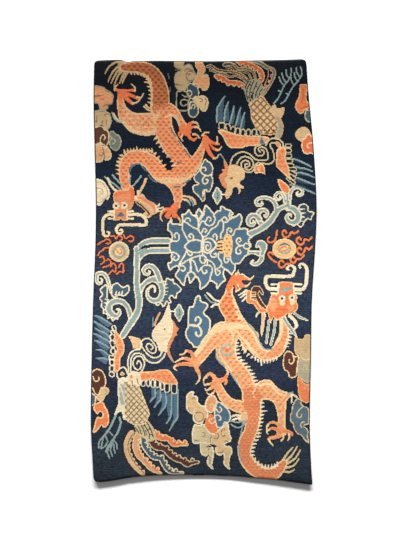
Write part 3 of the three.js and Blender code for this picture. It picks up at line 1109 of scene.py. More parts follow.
    def right_wing(self, chart: KnotChart) -> None:
        """Paints the wing that points right: feathers, ladder and orange bar."""
        for width, *quill in (
            (-7, (356, 452), (380, 444), (405, 432), (429, 419)),
            (-9, (368, 420), (385, 414), (407, 411), (433, 401)),
            (-10, (372, 397), (395, 394), (420, 386), (444, 375)),
            (-13, (370, 376), (395, 366), (420, 356), (450, 345)),
            (10, (345, 347), (372, 340), (400, 330), (425, 320), (450, 309)),
        ):
            Feather(width, tuple(quill), Yarn.DUSK).draw(chart)
        Ladder(((333, 503, 343, 503, 5), (333, 484, 343, 484, 5.4), (332, 463, 343, 463, 6),
                (332, 442, 347, 442, 6), (338, 424, 353, 423, 5), (346, 411, 363, 408, 4.6),
                (345, 398, 364, 388, 4.4), (348, 382, 360, 373, 4.4), (336, 372, 360, 355, 3.4)),
               4.2, Yarn.SAND).draw(chart)
        self.bar(chart, (294, 490), (322, 500), (329, 480), (327, 455), (333, 434), (341, 414),
                 (341, 396), (346, 366), (338, 372), (321, 389), (302, 407), (289, 421),
                 (289, 451))

    def scrolls(self, chart: KnotChart) -> None:
        """Paints the pale scrolls of the neck and the two orange buds."""
        bud = Patch((201, 408), (210, 425), (234, 430), (243, 417), (246, 391), (234, 392),
                    (225, 395), (206, 392))
        lower_bud = Patch((295, 369), (310, 366), (321, 358), (340, 342), (344, 316), (329, 310),
                          (312, 323), (302, 340))
        for shape in (bud, lower_bud):
            chart.lay(shape, Yarn.FLAME, Yarn.PALE, rim=4.6)
        chart.lay(spiral(222, 410, 8, 60, 2), Yarn.PALE, halo=0)
        chart.lay(Stroke(9, (294, 513, 7), (300, 506)), Yarn.TANGERINE, Yarn.PALE, rim=2.6)
        chart.lines(
            Yarn.SAND, 3,
            ((106, 430), (114, 454), (126, 466), (143, 476), (165, 477), (182, 470), (197, 457),
                (212, 447), (246, 446), (256, 452), (254, 479), (246, 492), (234, 498), (223, 496),
                (218, 487), (226, 479)),
            ((224, 505), (210, 500), (204, 488), (206, 474), (216, 464), (230, 463), (241, 471),
                (240, 481), (231, 487)),
            ((132, 430), (142, 448), (152, 457), (168, 459), (184, 454), (195, 442), (198, 425),
                (190, 411), (178, 407), (167, 412), (164, 421), (168, 430), (175, 430)),
            ((172, 419), (181, 421), (184, 430), (177, 441), (165, 444), (153, 438), (149, 426),
                (154, 412), (165, 401), (182, 396), (197, 403), (205, 421), (214, 434), (234, 433),
                (256, 430), (272, 435), (281, 449), (279, 472), (275, 487), (266, 499), (265, 508),
                (272, 514), (286, 513)),
            ((248, 504), (254, 517), (266, 529), (282, 532), (301, 528), (314, 517), (318, 505),
                (311, 493), (302, 489)),
            halo=2.4,
        )

    def head(self, chart: KnotChart) -> None:
        """Paints the crest, and the head with its beak, beard and eye."""
        chart.lay(
            Patch((80, 449), (88, 440), (97, 425), (106, 416), (102, 395), (90, 384), (86, 373),
                (90, 355), (97, 338), (88, 331), (75, 343), (65, 364), (60, 375), (65, 388),
                (76, 396), (73, 409), (85, 412), (80, 430)),
            Yarn.TANGERINE,
        )
        chart.line(Yarn.SAGE, 2.6, (66, 470), (76, 458), (84, 444), halo=0)
        chart.lay(
            Patch((101, 424), (117, 428), (138, 423), (156, 410), (165, 390), (162, 373),
                (147, 362), (146, 350), (160, 338), (156, 331), (147, 334), (147, 318), (138, 310),
                (139, 324), (130, 338), (117, 334), (114, 316), (106, 302), (93, 290), (87, 299),
                (86, 316), (93, 334), (92, 351), (82, 368), (94, 386)),
            Yarn.GOLD, Yarn.STRAW, rim=3,
        )
        chart.lay(Lobe(111, 373, 6, 3.4), Yarn.BROWN, halo=0)


class LowerPhoenix(Phoenix):
    """The bird of the lower half, flying up the left side to its beak at the middle."""

    def tail(self, chart: KnotChart) -> None:
        """Paints the five plumes that fan out to the lower edge."""
        for plume in (
            Plume(Yarn.FLAME, 7, ((-197, -640), (-182, -660), (-159, -667), (-141, -667),
                (-127, -684), (-111, -692), (-91, -688), (-66, -690)), 1.0, Yarn.PALE),
            Plume(Yarn.BROWN, 9, ((-212, -668), (-203, -688), (-186, -701), (-159, -706),
                (-136, -728), (-114, -745), (-86, -755), (-66, -770), (-48, -764), (-23, -760)),
                1.0, Yarn.SAND, 4.4),
            Plume(Yarn.STEEL, 7, ((-243, -662), (-239, -692), (-220, -720), (-200, -740),
                (-172, -746), (-161, -765), (-145, -790), (-123, -801), (-84, -803)), 1.0,
                Yarn.IVORY, 4.6),
            Plume(Yarn.PEACH, 8, ((-262, -648), (-272, -678), (-272, -705), (-261, -732),
                (-243, -750), (-225, -770), (-207, -788), (-172, -804)), 1.0, Yarn.PALE),
            Plume(Yarn.STRAW, 6.5, ((-288, -642), (-303, -667), (-310, -698), (-303, -730),
                (-287, -762), (-265, -789), (-240, -812)), 1.0, Yarn.GOLD),
        ):
            plume.draw(chart)
        chart.line(Yarn.TAUPE, 1.8, (-284, -650), (-297, -672), (-302, -700), (-294, -730),
                   (-278, -760), (-256, -784), (-236, -806), halo=0)
        chart.lines(Yarn.FLAME, 3, ((-262, -710), (-252, -734)), ((-236, -752), (-216, -770)),
                    ((-204, -780), (-184, -794)), halo=0)
        self.tuft(
            chart, Yarn.SAND, Yarn.NIGHT,
            ((-276, -612), (-250, -608), (-227, -594), (-205, -617), (-192, -642), (-194, -668),
                (-214, -678), (-240, -664), (-266, -646)),
            ((-264, -614), (-256, -628), (-248, -650)), ((-252, -610), (-242, -626), (-234, -654)),
            ((-240, -604), (-230, -622), (-220, -642), (-216, -668)),
            ((-228, -602), (-217, -618), (-208, -638), (-202, -662)),
            ((-272, -624), (-264, -636), (-258, -644)), ((-232, -634), (-228, -652)),
            ((-246, -618), (-238, -614)), ((-222, -630), (-212, -626)),
            ((-216, -652), (-206, -648)),
        )

    def legs(self, chart: KnotChart) -> None:
        """Paints the two thin legs with their spread toes."""
        chart.lines(
            Yarn.SAGE, 4.4, ((-350, -569), (-361, -596), (-377, -628), (-395, -651), (-409, -669)),
            ((-336, -583), (-332, -605), (-341, -637), (-355, -660), (-366, -678)),
        )
        chart.lines(
            Yarn.SAGE, 3,
            ((-408, -664), (-418, -682), (-420, -704)), ((-400, -660), (-406, -684), (-410, -706)),
            ((-392, -658), (-384, -676), (-392, -694), (-404, -704)), ((-376, -640), (-364, -652)),
            ((-366, -674), (-384, -700), (-392, -720)), ((-368, -682), (-384, -716), (-376, -744)),
            ((-364, -684), (-372, -710), (-364, -736)), ((-362, -680), (-358, -704), (-354, -724)),
            ((-360, -672), (-346, -690), (-346, -708)), halo=2.4,
        )

    def body(self, chart: KnotChart) -> None:
        """Paints the scaled body, the flank and the hips."""
        chart.lay(
            Patch((-342, -432), (-300, -432), (-300, -520), (-304, -586), (-314, -592),
                (-322, -586), (-328, -560), (-344, -566), (-357, -572), (-350, -550),
                (-342, -520)),
            Yarn.CREAM,
        )
        trunk = Patch(
            (-318, -440), (-280, -446), (-258, -458), (-245, -487), (-227, -533), (-216, -565),
            (-222, -585), (-234, -606), (-262, -614), (-292, -606), (-312, -588), (-318, -560),
            (-318, -500),
        )
        chart.lay(trunk, Yarn.SAND, Yarn.PALE, rim=3.6)
        chart.net(trunk, Yarn.TAUPE, (22, 24), [Yarn.SAND], 1.6, (-290, -505))
        chart.spots(trunk, Yarn.PALE, (22, 12), (4.4, 3.6), [Yarn.SAND], (-290, -505))
        chart.lay(Patch((-336, -455), (-318, -455), (-314, -490), (-316, -526), (-332, -526)),
                  Yarn.MIST, halo=0)
        chart.line(Yarn.CREAM, 2.4, (-334, -455), (-322, -490), (-316, -520), halo=0)

    def left_wing(self, chart: KnotChart) -> None:
        """Paints the wing at the left edge: feathers, ladder and orange bar."""
        for width, *quill in (
            (17, (-370, -210), (-395, -192), (-418, -180), (-437, -176)),
            (15, (-374, -238), (-400, -220), (-424, -206), (-439, -198)),
            (14, (-374, -262), (-392, -246), (-415, -236), (-433, -226)),
            (17, (-374, -280), (-400, -266), (-420, -254), (-439, -248)),
            (16, (-376, -304), (-400, -290), (-420, -279), (-435, -275)),
            (15, (-378, -334), (-395, -320), (-410, -312), (-429, -312)),
            (20, (-382, -351), (-396, -346), (-412, -345), (-429, -345)),
        ):
            Feather(width, tuple(quill), Yarn.BLUE).draw(chart)
        Ladder(((-360, -221, -356, -229, 4), (-365, -240, -360, -247, 3),
                (-365, -258, -365, -264, 6.4), (-366, -282, -362, -294, 6),
                (-362, -315, -362, -320, 6.4), (-371, -342, -363, -342, 5),
                (-367, -359, -367, -364, 6.4), (-367, -384, -367, -391, 6),
                (-369, -409, -365, -411, 6)), 4.8).draw(chart)
        self.bar(
            chart, (-354, -232), (-341, -249), (-327, -267), (-317, -292), (-317, -316),
            (-326, -338), (-334, -348), (-332, -366), (-334, -388), (-348, -403), (-358, -394),
            (-358, -342), (-349, -319), (-349, -296), (-356, -274), (-358, -248)
        )

    def right_wing(self, chart: KnotChart) -> None:
        """Paints the wing that points down: feathers, ladder and orange bar."""
        for width, *quill in (
            (-15, (-193, -462), (-193, -495), (-203, -506), (-214, -520)),
            (-17, (-172, -470), (-172, -508), (-182, -522), (-197, -540)),
            (-16, (-151, -480), (-151, -532), (-165, -552), (-180, -573)),
            (-17, (-128, -486), (-129, -545), (-132, -580), (-149, -606)),
            (-18, (-105, -455), (-104, -560), (-106, -585), (-120, -605), (-137, -635)),
        ):
            Feather(width, tuple(quill), Yarn.BLUE).draw(chart)
        Ladder(((-259, -438, -259, -449, 4), (-240, -438, -242, -451, 5.2),
                (-221, -438, -221, -451, 4.4), (-203, -439, -203, -454, 5.2),
                (-184, -438, -184, -454, 6.2), (-166, -444, -166, -465, 4.4),
                (-146, -456, -146, -472, 8), (-118, -458, -118, -477, 8.6)), 4.2).draw(chart)
        self.bar(chart, (-262, -404), (-223, -399), (-195, -396), (-168, -390), (-141, -392),
                 (-123, -410), (-104, -442), (-107, -450), (-136, -450), (-159, -445),
                 (-182, -436), (-205, -430), (-227, -434), (-262, -436))
        chart.lay(Patch((-300, -402), (-258, -402), (-252, -436), (-266, -456), (-302, -448)),
                  Yarn.IVORY, halo=0)
        chart.lines(Yarn.TAUPE, 2.2, ((-306, -440), (-305, -454)), ((-286, -438), (-284, -454)),
                    ((-266, -428), (-262, -446)), ((-297, -454), (-294, -464)),
                    ((-276, -454), (-272, -464)), halo=0)
        chart.lay(Lobe(-289, -420, 5, 8), Yarn.TANGERINE, halo=0)

    def scrolls(self, chart: KnotChart) -> None:
        """Paints the pale scrolls of the neck, the orange bead and the tan leaf."""
        chart.lay(Patch((-300, -257), (-273, -262), (-253, -271), (-250, -296), (-255, -306),
                        (-281, -306), (-285, -292), (-292, -273)), Yarn.STRAW, Yarn.PALE, rim=3.4)
        chart.lay(Lobe(-325, -408, 8, 8), Yarn.TANGERINE, Yarn.CREAM, rim=2.6)
        chart.line(
            Yarn.DUSK, 6, (-296, -398), (-297, -369), (-295, -344), (-283, -325), (-265, -318),
            (-248, -322), (-232, -341), (-212, -354), (-189, -354), (-172, -343), (-162, -328)
        )
        chart.lines(
            Yarn.CREAM, 3,
            ((-336, -388), (-320, -381), (-309, -392), (-304, -408), (-296, -411), (-289, -403)),
            ((-346, -406), (-344, -423), (-330, -430), (-314, -428), (-302, -418)),
            ((-300, -401), (-302, -369), (-300, -342), (-291, -324), (-273, -311), (-255, -309),
             (-248, -296), (-248, -278), (-232, -267), (-216, -269), (-202, -283), (-191, -301),
             (-191, -317), (-202, -326), (-220, -317), (-229, -298), (-220, -287), (-209, -292),
             (-202, -305), (-211, -310)),
            ((-291, -399), (-292, -369), (-289, -346), (-275, -328), (-257, -326), (-241, -335),
             (-230, -351), (-214, -362), (-191, -365), (-173, -355), (-159, -340), (-155, -328)),
            ((-243, -303), (-236, -315), (-223, -330), (-205, -342), (-186, -342), (-173, -333),
             (-166, -319)),
            ((-248, -398), (-240, -383), (-236, -365), (-243, -346), (-256, -337), (-270, -340),
             (-280, -353), (-281, -374), (-271, -389), (-258, -390), (-250, -378), (-252, -362),
             (-262, -357), (-267, -367)),
            halo=2.4,
        )

    def head(self, chart: KnotChart) -> None:
        """Paints the crest, the head with its beak and eye, and the two horns."""
        chart.lay(
            Patch((-134, -184), (-118, -200), (-109, -218), (-99, -228), (-105, -237),
                (-108, -245), (-106, -254), (-116, -259), (-122, -274), (-131, -292), (-135, -310),
                (-133, -328), (-125, -344), (-119, -361), (-131, -353), (-141, -337), (-148, -319),
                (-148, -306), (-138, -283), (-128, -251), (-126, -215)),
            Yarn.TANGERINE,
        )
        chart.line(Yarn.SAGE, 2.2, (-136, -338), (-128, -350), (-120, -362), halo=0)
        chart.line(Yarn.PEACH, 4.4, (-176, -166), (-189, -192), (-195, -212), (-186, -220))
        chart.line(Yarn.SKY, 3.4, (-202, -184), (-203, -218))
        chart.lay(
            Patch((-140, -128), (-132, -160), (-130, -183), (-122, -210), (-124, -242),
                (-136, -274), (-145, -298), (-148, -326), (-159, -318), (-174, -320), (-183, -305),
                (-187, -287), (-203, -269), (-206, -242), (-188, -215), (-166, -187),
                (-154, -160)),
            Yarn.IVORY, Yarn.CREAM, rim=3,
        )
        chart.lay(Lobe(-155, -229, 4, 3.4), Yarn.BROWN, halo=0)




@dataclass(frozen=True)
class Cloud:
    """One cloud: its yarns, its outline, the scrolls inside it and their yarn and half-width."""

    fill: Yarn
    edge: Yarn
    outline: tuple[Point, ...]
    scrolls: tuple[tuple[Point, ...], ...] = ()
    yarn: Yarn | None = None
    rim: float = 4.6
    half: float = 2.3

    def draw(self, chart: KnotChart) -> None:
        """Paints the cloud with its edge, then its scrolls."""
        chart.lay(Patch(*self.outline), self.fill, self.edge, rim=self.rim)
        yarn = self.edge if self.yarn is None else self.yarn
        chart.lines(yarn, self.half, *self.scrolls, halo=0)


class Clouds(Motif):
    """The lobed clouds at the edges, between the beasts and in the middle of both ends."""

    TOP = (
        Cloud(Yarn.BEIGE, Yarn.GREY, ((-115, 842), (-78, 842), (-80, 824), (-62, 830), (-46, 822),
            (-38, 802), (-30, 785), (-34, 768), (-52, 756), (-62, 750), (-68, 735), (-76, 722),
            (-98, 722), (-112, 736), (-118, 765), (-115, 788), (-104, 799), (-92, 804),
            (-104, 810), (-118, 820)), (((-42, 796), (-56, 801), (-68, 793), (-70, 778),
            (-62, 764), (-48, 761), (-38, 769)), ((-64, 790), (-57, 788), (-55, 793)),
            ((-112, 806), (-98, 806), (-91, 808)), ((-76, 800), (-70, 808), (-56, 808),
            (-44, 802)), ((-110, 748), (-90, 744))), Yarn.TAUPE, 4.4, 2.3),
        Cloud(Yarn.ORANGE, Yarn.SAND, ((-34, 842), (-10, 842), (0, 828), (8, 812), (4, 796),
            (-2, 786), (10, 790), (20, 780), (24, 758), (20, 736), (8, 722), (-4, 724), (-14, 734),
            (-24, 736), (-30, 745), (-46, 750), (-36, 768), (-29, 786), (-24, 804), (-32, 816)),
            (((-22, 738), (-18, 750), (-12, 759), (-4, 756)), ((-6, 790), (-10, 780), (2, 780))),
            Yarn.SAND, 4.6, 2.0),
        Cloud(Yarn.DUSK, Yarn.SAND, ((-66, 744), (-52, 754), (-40, 747), (-24, 738), (-18, 716),
            (-22, 696), (-38, 688), (-54, 692), (-64, 705), (-68, 724)), (((-62, 722), (-52, 722),
            (-47, 712), (-52, 702), (-58, 702)),), None, 4),
        Cloud(Yarn.NIGHT, Yarn.GREY, ((-110, 714), (-98, 723), (-70, 722), (-62, 706), (-54, 690),
            (-60, 672), (-58, 655), (-66, 642), (-98, 642), (-110, 655)), (((-64, 698), (-76, 700),
            (-86, 706)), ((-64, 684), (-78, 688), (-90, 682), (-91, 668), (-80, 662), (-70, 667))),
            None, 5),
        Cloud(Yarn.GOLD, Yarn.SAND, ((-38, 700), (-20, 702), (0, 704), (14, 694), (20, 675),
            (16, 655), (8, 640), (-6, 640), (-16, 652), (-24, 660), (-30, 676), (-44, 686)),
            (((-14, 690), (-6, 688), (-7, 680), (-13, 680)), ((6, 694), (10, 680), (6, 664)),
            ((-2, 648), (4, 654))), Yarn.WEB, 4.6, 1.6),
        Cloud(Yarn.DUSK, Yarn.SAND, ((-58, 674), (-46, 682), (-34, 678), (-22, 660), (-18, 638),
            (-28, 620), (-42, 614), (-58, 622), (-64, 640), (-58, 655)), (((-50, 650), (-46, 664),
            (-38, 668), (-35, 659), (-39, 650)),), None, 5.4),
    )
    LEFT = (
        Cloud(Yarn.APRICOT, Yarn.GREY, ((-450, 740), (-400, 738), (-390, 728), (-372, 720),
            (-361, 705), (-361, 690), (-367, 668), (-384, 664), (-380, 655), (-392, 646),
            (-415, 650), (-420, 665), (-428, 672), (-450, 676)), (((-438, 702), (-420, 702),
            (-404, 704)), ((-412, 688), (-404, 690), (-400, 686)), ((-392, 722), (-376, 718)),
            ((-400, 660), (-388, 668), (-372, 668))), Yarn.TAUPE, 5.4, 2.2),
        Cloud(Yarn.BEIGE, Yarn.GREY, ((-450, 634), (-425, 645), (-395, 650), (-387, 640),
            (-377, 636), (-371, 622), (-367, 600), (-373, 580), (-382, 566), (-398, 570),
            (-405, 585), (-420, 578), (-432, 565), (-450, 572)), (((-396, 622), (-392, 630),
            (-380, 630)), ((-402, 606), (-406, 590)), ((-412, 640), (-398, 642)), ((-428, 622),
            (-428, 596)), ((-388, 606), (-388, 586))), Yarn.TAUPE, 4, 1.9),
        Cloud(Yarn.BROWN, Yarn.SAND, ((-450, 572), (-425, 580), (-405, 582), (-395, 570),
            (-381, 562), (-377, 540), (-379, 515), (-390, 500), (-402, 506), (-415, 512),
            (-430, 505), (-450, 508)), (((-410, 510), (-413, 526), (-408, 542), (-398, 546),
            (-393, 535), (-398, 528)),)),
        Cloud(Yarn.MOSS, Yarn.GREY, ((-374, 560), (-362, 563), (-350, 550), (-338, 545),
            (-328, 525), (-333, 498), (-346, 483), (-362, 485), (-375, 500), (-377, 520),
            (-372, 534), (-379, 548)), (((-376, 530), (-362, 532), (-354, 524), (-356, 514),
            (-364, 511)),), Yarn.GREY),
        Cloud(Yarn.PEACH, Yarn.SAND, ((-450, 505), (-425, 508), (-412, 512), (-400, 502),
            (-385, 500), (-374, 485), (-367, 465), (-374, 448), (-390, 443), (-400, 450),
            (-405, 440), (-420, 436), (-450, 445)), (((-418, 470), (-410, 464), (-402, 468),
            (-400, 482), (-404, 494)), ((-400, 478), (-396, 462), (-398, 450))), Yarn.TAUPE, 5.4,
            2.4),
        Cloud(Yarn.IVORY, Yarn.CREAM, ((-450, 368), (-412, 368), (-398, 360), (-388, 345),
            (-378, 330), (-374, 312), (-378, 292), (-386, 286), (-392, 291), (-400, 280),
            (-410, 266), (-425, 265), (-450, 275)), (((-432, 335), (-415, 334), (-404, 325),
            (-402, 314), (-409, 310), (-413, 316)), ((-440, 358), (-416, 358), (-402, 352),
            (-394, 340), (-386, 328), (-384, 300), (-398, 291), (-410, 277), (-432, 276))),
            Yarn.GREY, 3, 1.8),
    )
    RIGHT = (
        Cloud(Yarn.FLAME, Yarn.STRAW, ((384, 746), (398, 749), (414, 746), (413, 720), (411, 692),
            (418, 676), (432, 672), (430, 652), (416, 650), (404, 644), (398, 634), (384, 629),
            (374, 640), (365, 655), (368, 676), (378, 695), (382, 720)), (((396, 730), (398, 700),
            (390, 674)), ((388, 652), (404, 656), (420, 660))), Yarn.EMBER, 4.6, 3),
        Cloud(Yarn.STEEL, Yarn.SAND, ((408, 646), (422, 646), (436, 640), (432, 600), (422, 596),
            (410, 602), (402, 620))),
        Cloud(Yarn.GOLD, Yarn.STRAW, ((366, 554), (376, 569), (395, 578), (412, 574), (424, 560),
            (431, 545), (445, 535), (430, 520), (400, 523), (388, 521), (373, 530), (365, 543)),
            (((384, 534), (392, 536), (396, 542)),), Yarn.BEIGE, 3),
        Cloud(Yarn.CORAL, Yarn.PALE, ((392, 527), (404, 534), (412, 548), (424, 549), (434, 540),
            (450, 540), (450, 470), (428, 472), (412, 469), (398, 476), (391, 497)), (((446, 508),
            (428, 514), (416, 509), (413, 499), (420, 494)),), None, 4.6),
        Cloud(Yarn.BEIGE, Yarn.STRAW, ((364, -262), (378, -266), (392, -268), (400, -262),
            (402, -254), (412, -250), (424, -252), (430, -262), (450, -270), (450, -346),
            (425, -350), (405, -353), (392, -345), (380, -335), (368, -330), (361, -310),
            (361, -285)), (((400, -298), (412, -303), (420, -297)), ((380, -274), (394, -278)),
            ((376, -326), (392, -334), (404, -344))), Yarn.GREY, 3.4, 1.7),
        Cloud(Yarn.GREY, Yarn.SAND, ((374, -342), (392, -345), (405, -352), (425, -350),
            (450, -346), (450, -430), (430, -436), (416, -444), (404, -440), (396, -432),
            (384, -428), (375, -412)), (((398, -394), (398, -378), (406, -370), (414, -378),
            (411, -392)), ((410, -358), (420, -363)), ((384, -356), (382, -376))), Yarn.BEIGE, 3,
            1.7),
        Cloud(Yarn.BROWN, Yarn.PALE, ((318, -345), (320, -330), (330, -318), (344, -317),
            (356, -325), (363, -337), (377, -335), (381, -345), (377, -365), (375, -385),
            (373, -405), (369, -420), (354, -425), (341, -421), (337, -406), (333, -399),
            (322, -393), (316, -375), (315, -360)), (((356, -334), (361, -350), (357, -363),
            (348, -368), (341, -361), (342, -351)),)),
        Cloud(Yarn.FLAME, Yarn.STRAW, ((374, -420), (386, -422), (394, -432), (402, -444),
            (418, -446), (428, -436), (450, -430), (450, -500), (432, -500), (424, -515),
            (412, -525), (400, -522), (388, -512), (380, -495), (376, -470), (374, -445)),
            (((405, -476), (403, -462), (410, -454), (418, -462), (418, -474)), ((424, -444),
            (426, -466))), Yarn.PEACH, 4, 2),
        Cloud(Yarn.SLATE, Yarn.SAND, ((384, -508), (372, -506), (360, -520), (352, -540),
            (350, -560), (344, -575), (346, -598), (354, -606), (358, -622), (364, -636),
            (374, -648), (388, -654), (396, -664), (404, -674), (419, -687), (421, -675),
            (417, -660), (419, -640), (414, -627), (402, -617), (409, -612), (419, -610),
            (421, -590), (421, -560), (418, -545), (408, -538), (398, -535), (390, -525),
            (392, -515)), (((398, -536), (386, -548), (375, -561), (372, -574), (380, -583),
            (390, -578), (392, -570)), ((402, -600), (391, -603), (387, -613), (392, -623)))),
    )
    LOWER_LEFT = (
        Cloud(Yarn.STEEL, Yarn.PALE, ((-460, -486), (-436, -490), (-429, -505), (-431, -522),
            (-440, -534), (-460, -534))),
        Cloud(Yarn.GOLD, Yarn.PALE, ((-412, -468), (-394, -462), (-382, -464), (-377, -474),
            (-381, -486), (-391, -496), (-397, -508), (-404, -518), (-420, -516), (-430, -500),
            (-420, -488)), (((-392, -472), (-386, -480), (-394, -488)),), Yarn.GREY, 3.6),
        Cloud(Yarn.BROWN, Yarn.PALE, ((-447, -400), (-432, -388), (-415, -389), (-400, -401),
            (-392, -420), (-389, -440), (-395, -462), (-408, -467), (-411, -480), (-420, -493),
            (-433, -490), (-441, -478), (-446, -466), (-460, -462), (-460, -420)), (((-442, -420),
            (-436, -434), (-426, -438), (-418, -430), (-420, -420)),), None, 5),
        Cloud(Yarn.FLAME, Yarn.PALE, ((-424, -522), (-408, -519), (-398, -525), (-392, -540),
            (-384, -552), (-379, -570), (-377, -590), (-379, -606), (-388, -619), (-400, -622),
            (-408, -614), (-416, -624), (-424, -634), (-434, -643), (-443, -639), (-438, -620),
            (-434, -600), (-428, -584), (-420, -579), (-412, -583), (-405, -577), (-406, -565),
            (-413, -560), (-420, -566), (-424, -571), (-432, -562), (-440, -548), (-437, -532)),
            (), None, 5),
    )
    BOTTOM = (
        Cloud(Yarn.GOLD, Yarn.CREAM, ((-70, -500), (-72, -530), (-68, -550), (-54, -566),
            (-42, -567), (-37, -561), (-44, -573), (-42, -592), (-32, -604), (-18, -608),
            (-4, -606), (4, -596), (14, -590), (20, -570), (10, -545), (2, -534), (-6, -535),
            (-14, -528), (-22, -518), (-22, -503), (-30, -496), (-40, -494), (-38, -480),
            (-48, -477), (-62, -484)), (((-38, -560), (-26, -562), (-10, -562), (-1, -574),
            (-3, -590), (-14, -598), (-26, -598), (-34, -588), (-36, -574), (-26, -564)),
            ((-46, -508), (-38, -500), (-34, -508)), ((-60, -544), (-56, -556))), Yarn.TAUPE, 5.4,
            1.6),
        Cloud(Yarn.SAND, Yarn.CREAM, ((-14, -682), (6, -680), (20, -688), (34, -698), (41, -712),
            (41, -735), (37, -755), (35, -772), (40, -788), (32, -788), (20, -777), (13, -764),
            (14, -745), (20, -733), (6, -738), (-8, -730), (-15, -714)), (((6, -700), (16, -700),
            (20, -710)), ((18, -730), (26, -745), (26, -766))), Yarn.TAUPE, 5, 1.5),
        Cloud(Yarn.GOLD, Yarn.CREAM, ((28, -646), (44, -644), (58, -630), (78, -618), (88, -602),
            (98, -604), (103, -630), (105, -648), (111, -662), (108, -677), (96, -683), (84, -690),
            (92, -696), (106, -697), (114, -708), (114, -724), (108, -736), (104, -752),
            (103, -772), (106, -788), (98, -788), (86, -777), (79, -764), (80, -745), (79, -730),
            (66, -735), (52, -730), (45, -714), (47, -696), (40, -690), (30, -690), (26, -670)),
            (((72, -640), (72, -632), (80, -628), (86, -632)), ((70, -648), (76, -656), (84, -656),
            (84, -650)), ((48, -646), (56, -648), (60, -656), (56, -664), (48, -668), (42, -664)),
            ((82, -680), (90, -676), (98, -680)), ((60, -722), (72, -722), (78, -714))),
            Yarn.TAUPE, 5, 1.7),
        Cloud(Yarn.SAND, Yarn.CREAM, ((-38, -610), (-20, -611), (0, -607), (10, -620), (18, -634),
            (28, -648), (29, -682), (18, -690), (4, -686), (-14, -686), (-30, -688), (-44, -683),
            (-48, -660), (-46, -635)), (((-8, -656), (0, -658), (6, -652), (4, -644), (-4, -642)),
            ((28, -650), (28, -682)), ((-38, -672), (-22, -676))), Yarn.TAUPE, 5, 1.6),
        Cloud(Yarn.FLAME, Yarn.ORANGE, ((24, -568), (36, -572), (42, -590), (44, -608), (56, -625),
            (52, -640), (40, -645), (26, -643), (14, -628), (4, -614), (8, -596), (16, -582)),
            (((42, -602), (32, -606), (23, -598), (25, -587), (32, -588)),), Yarn.PALE, 2),
        Cloud(Yarn.ORANGE, Yarn.CREAM, ((22, -496), (40, -493), (51, -505), (55, -520), (46, -540),
            (40, -559), (24, -564), (10, -555), (5, -535), (8, -515)), (((36, -556), (40, -540),
            (35, -528), (27, -531), (27, -540)),), Yarn.PALE, 5.4),
        Cloud(Yarn.BLUE, Yarn.CREAM, ((53, -520), (66, -520), (80, -531), (94, -544), (105, -560),
            (109, -580), (105, -597), (94, -606), (84, -605), (78, -620), (62, -626), (50, -618),
            (45, -600), (41, -580), (41, -560), (45, -545), (48, -530)), (((50, -550), (60, -561),
            (70, -556), (71, -546), (63, -541)), ((44, -576), (54, -572), (64, -576), (68, -588),
            (62, -594))), None, 5.4, 2.8),
    )
    MIDDLE = (
        Cloud(Yarn.STEEL, Yarn.IVORY, ((6, 453), (16, 443), (28, 436), (37, 420), (37, 398),
            (32, 385), (39, 370), (37, 352), (33, 335), (25, 320), (12, 317), (8, 325), (6, 315),
            (8, 300), (4, 284), (-6, 280), (-14, 290), (-24, 303), (-38, 315), (-46, 332),
            (-42, 345), (-32, 349), (-22, 352), (-33, 358), (-40, 370), (-38, 385), (-30, 393),
            (-22, 403), (-14, 418), (-6, 435)), (((34, 387), (18, 384), (4, 386), (-8, 394),
            (-12, 406), (-6, 416), (4, 416), (10, 408), (6, 402)), ((16, 384), (4, 380), (-4, 370),
            (-4, 358), (4, 351), (13, 355), (16, 365), (10, 369)), ((-4, 300), (-2, 318), (2, 327),
            (12, 327))), None, 4.8, 2.8),
        Cloud(Yarn.BLUE, Yarn.CREAM, ((-20, -93), (-12, -100), (-10, -114), (0, -120), (12, -124),
            (19, -136), (12, -150), (4, -160), (6, -170), (16, -176), (27, -190), (29, -210),
            (27, -228), (24, -240), (20, -250), (10, -262), (0, -274), (-6, -284), (-12, -298),
            (-24, -304), (-40, -304), (-48, -291), (-58, -283), (-68, -269), (-75, -250),
            (-72, -232), (-65, -220), (-65, -200), (-65, -175), (-62, -150), (-56, -137),
            (-46, -138), (-41, -130), (-37, -112), (-30, -98)), (((-62, -214), (-40, -214),
            (-24, -214), (-14, -205), (-12, -192), (-20, -182), (-30, -184), (-33, -195)),
            ((-40, -217), (-24, -218), (-12, -230), (-9, -246), (-18, -257), (-29, -254),
            (-30, -243))), None, 6.4, 4),
    )

    def draw(self, chart: KnotChart) -> None:
        """Paints every cloud, then the dark gaps that part two of them."""
        for group in (self.TOP, self.LEFT, self.RIGHT, self.LOWER_LEFT, self.BOTTOM, self.MIDDLE):
            for cloud in group:
                cloud.draw(chart)
        chart.lines(
            Yarn.NIGHT, 2.4, ((18, -695), (26, -698), (34, -692)), ((44, -693), (50, -697)),
            ((8, -588), (-2, -604)), ((-40, 816), (-34, 808), (-26, 804)), halo=0
        )


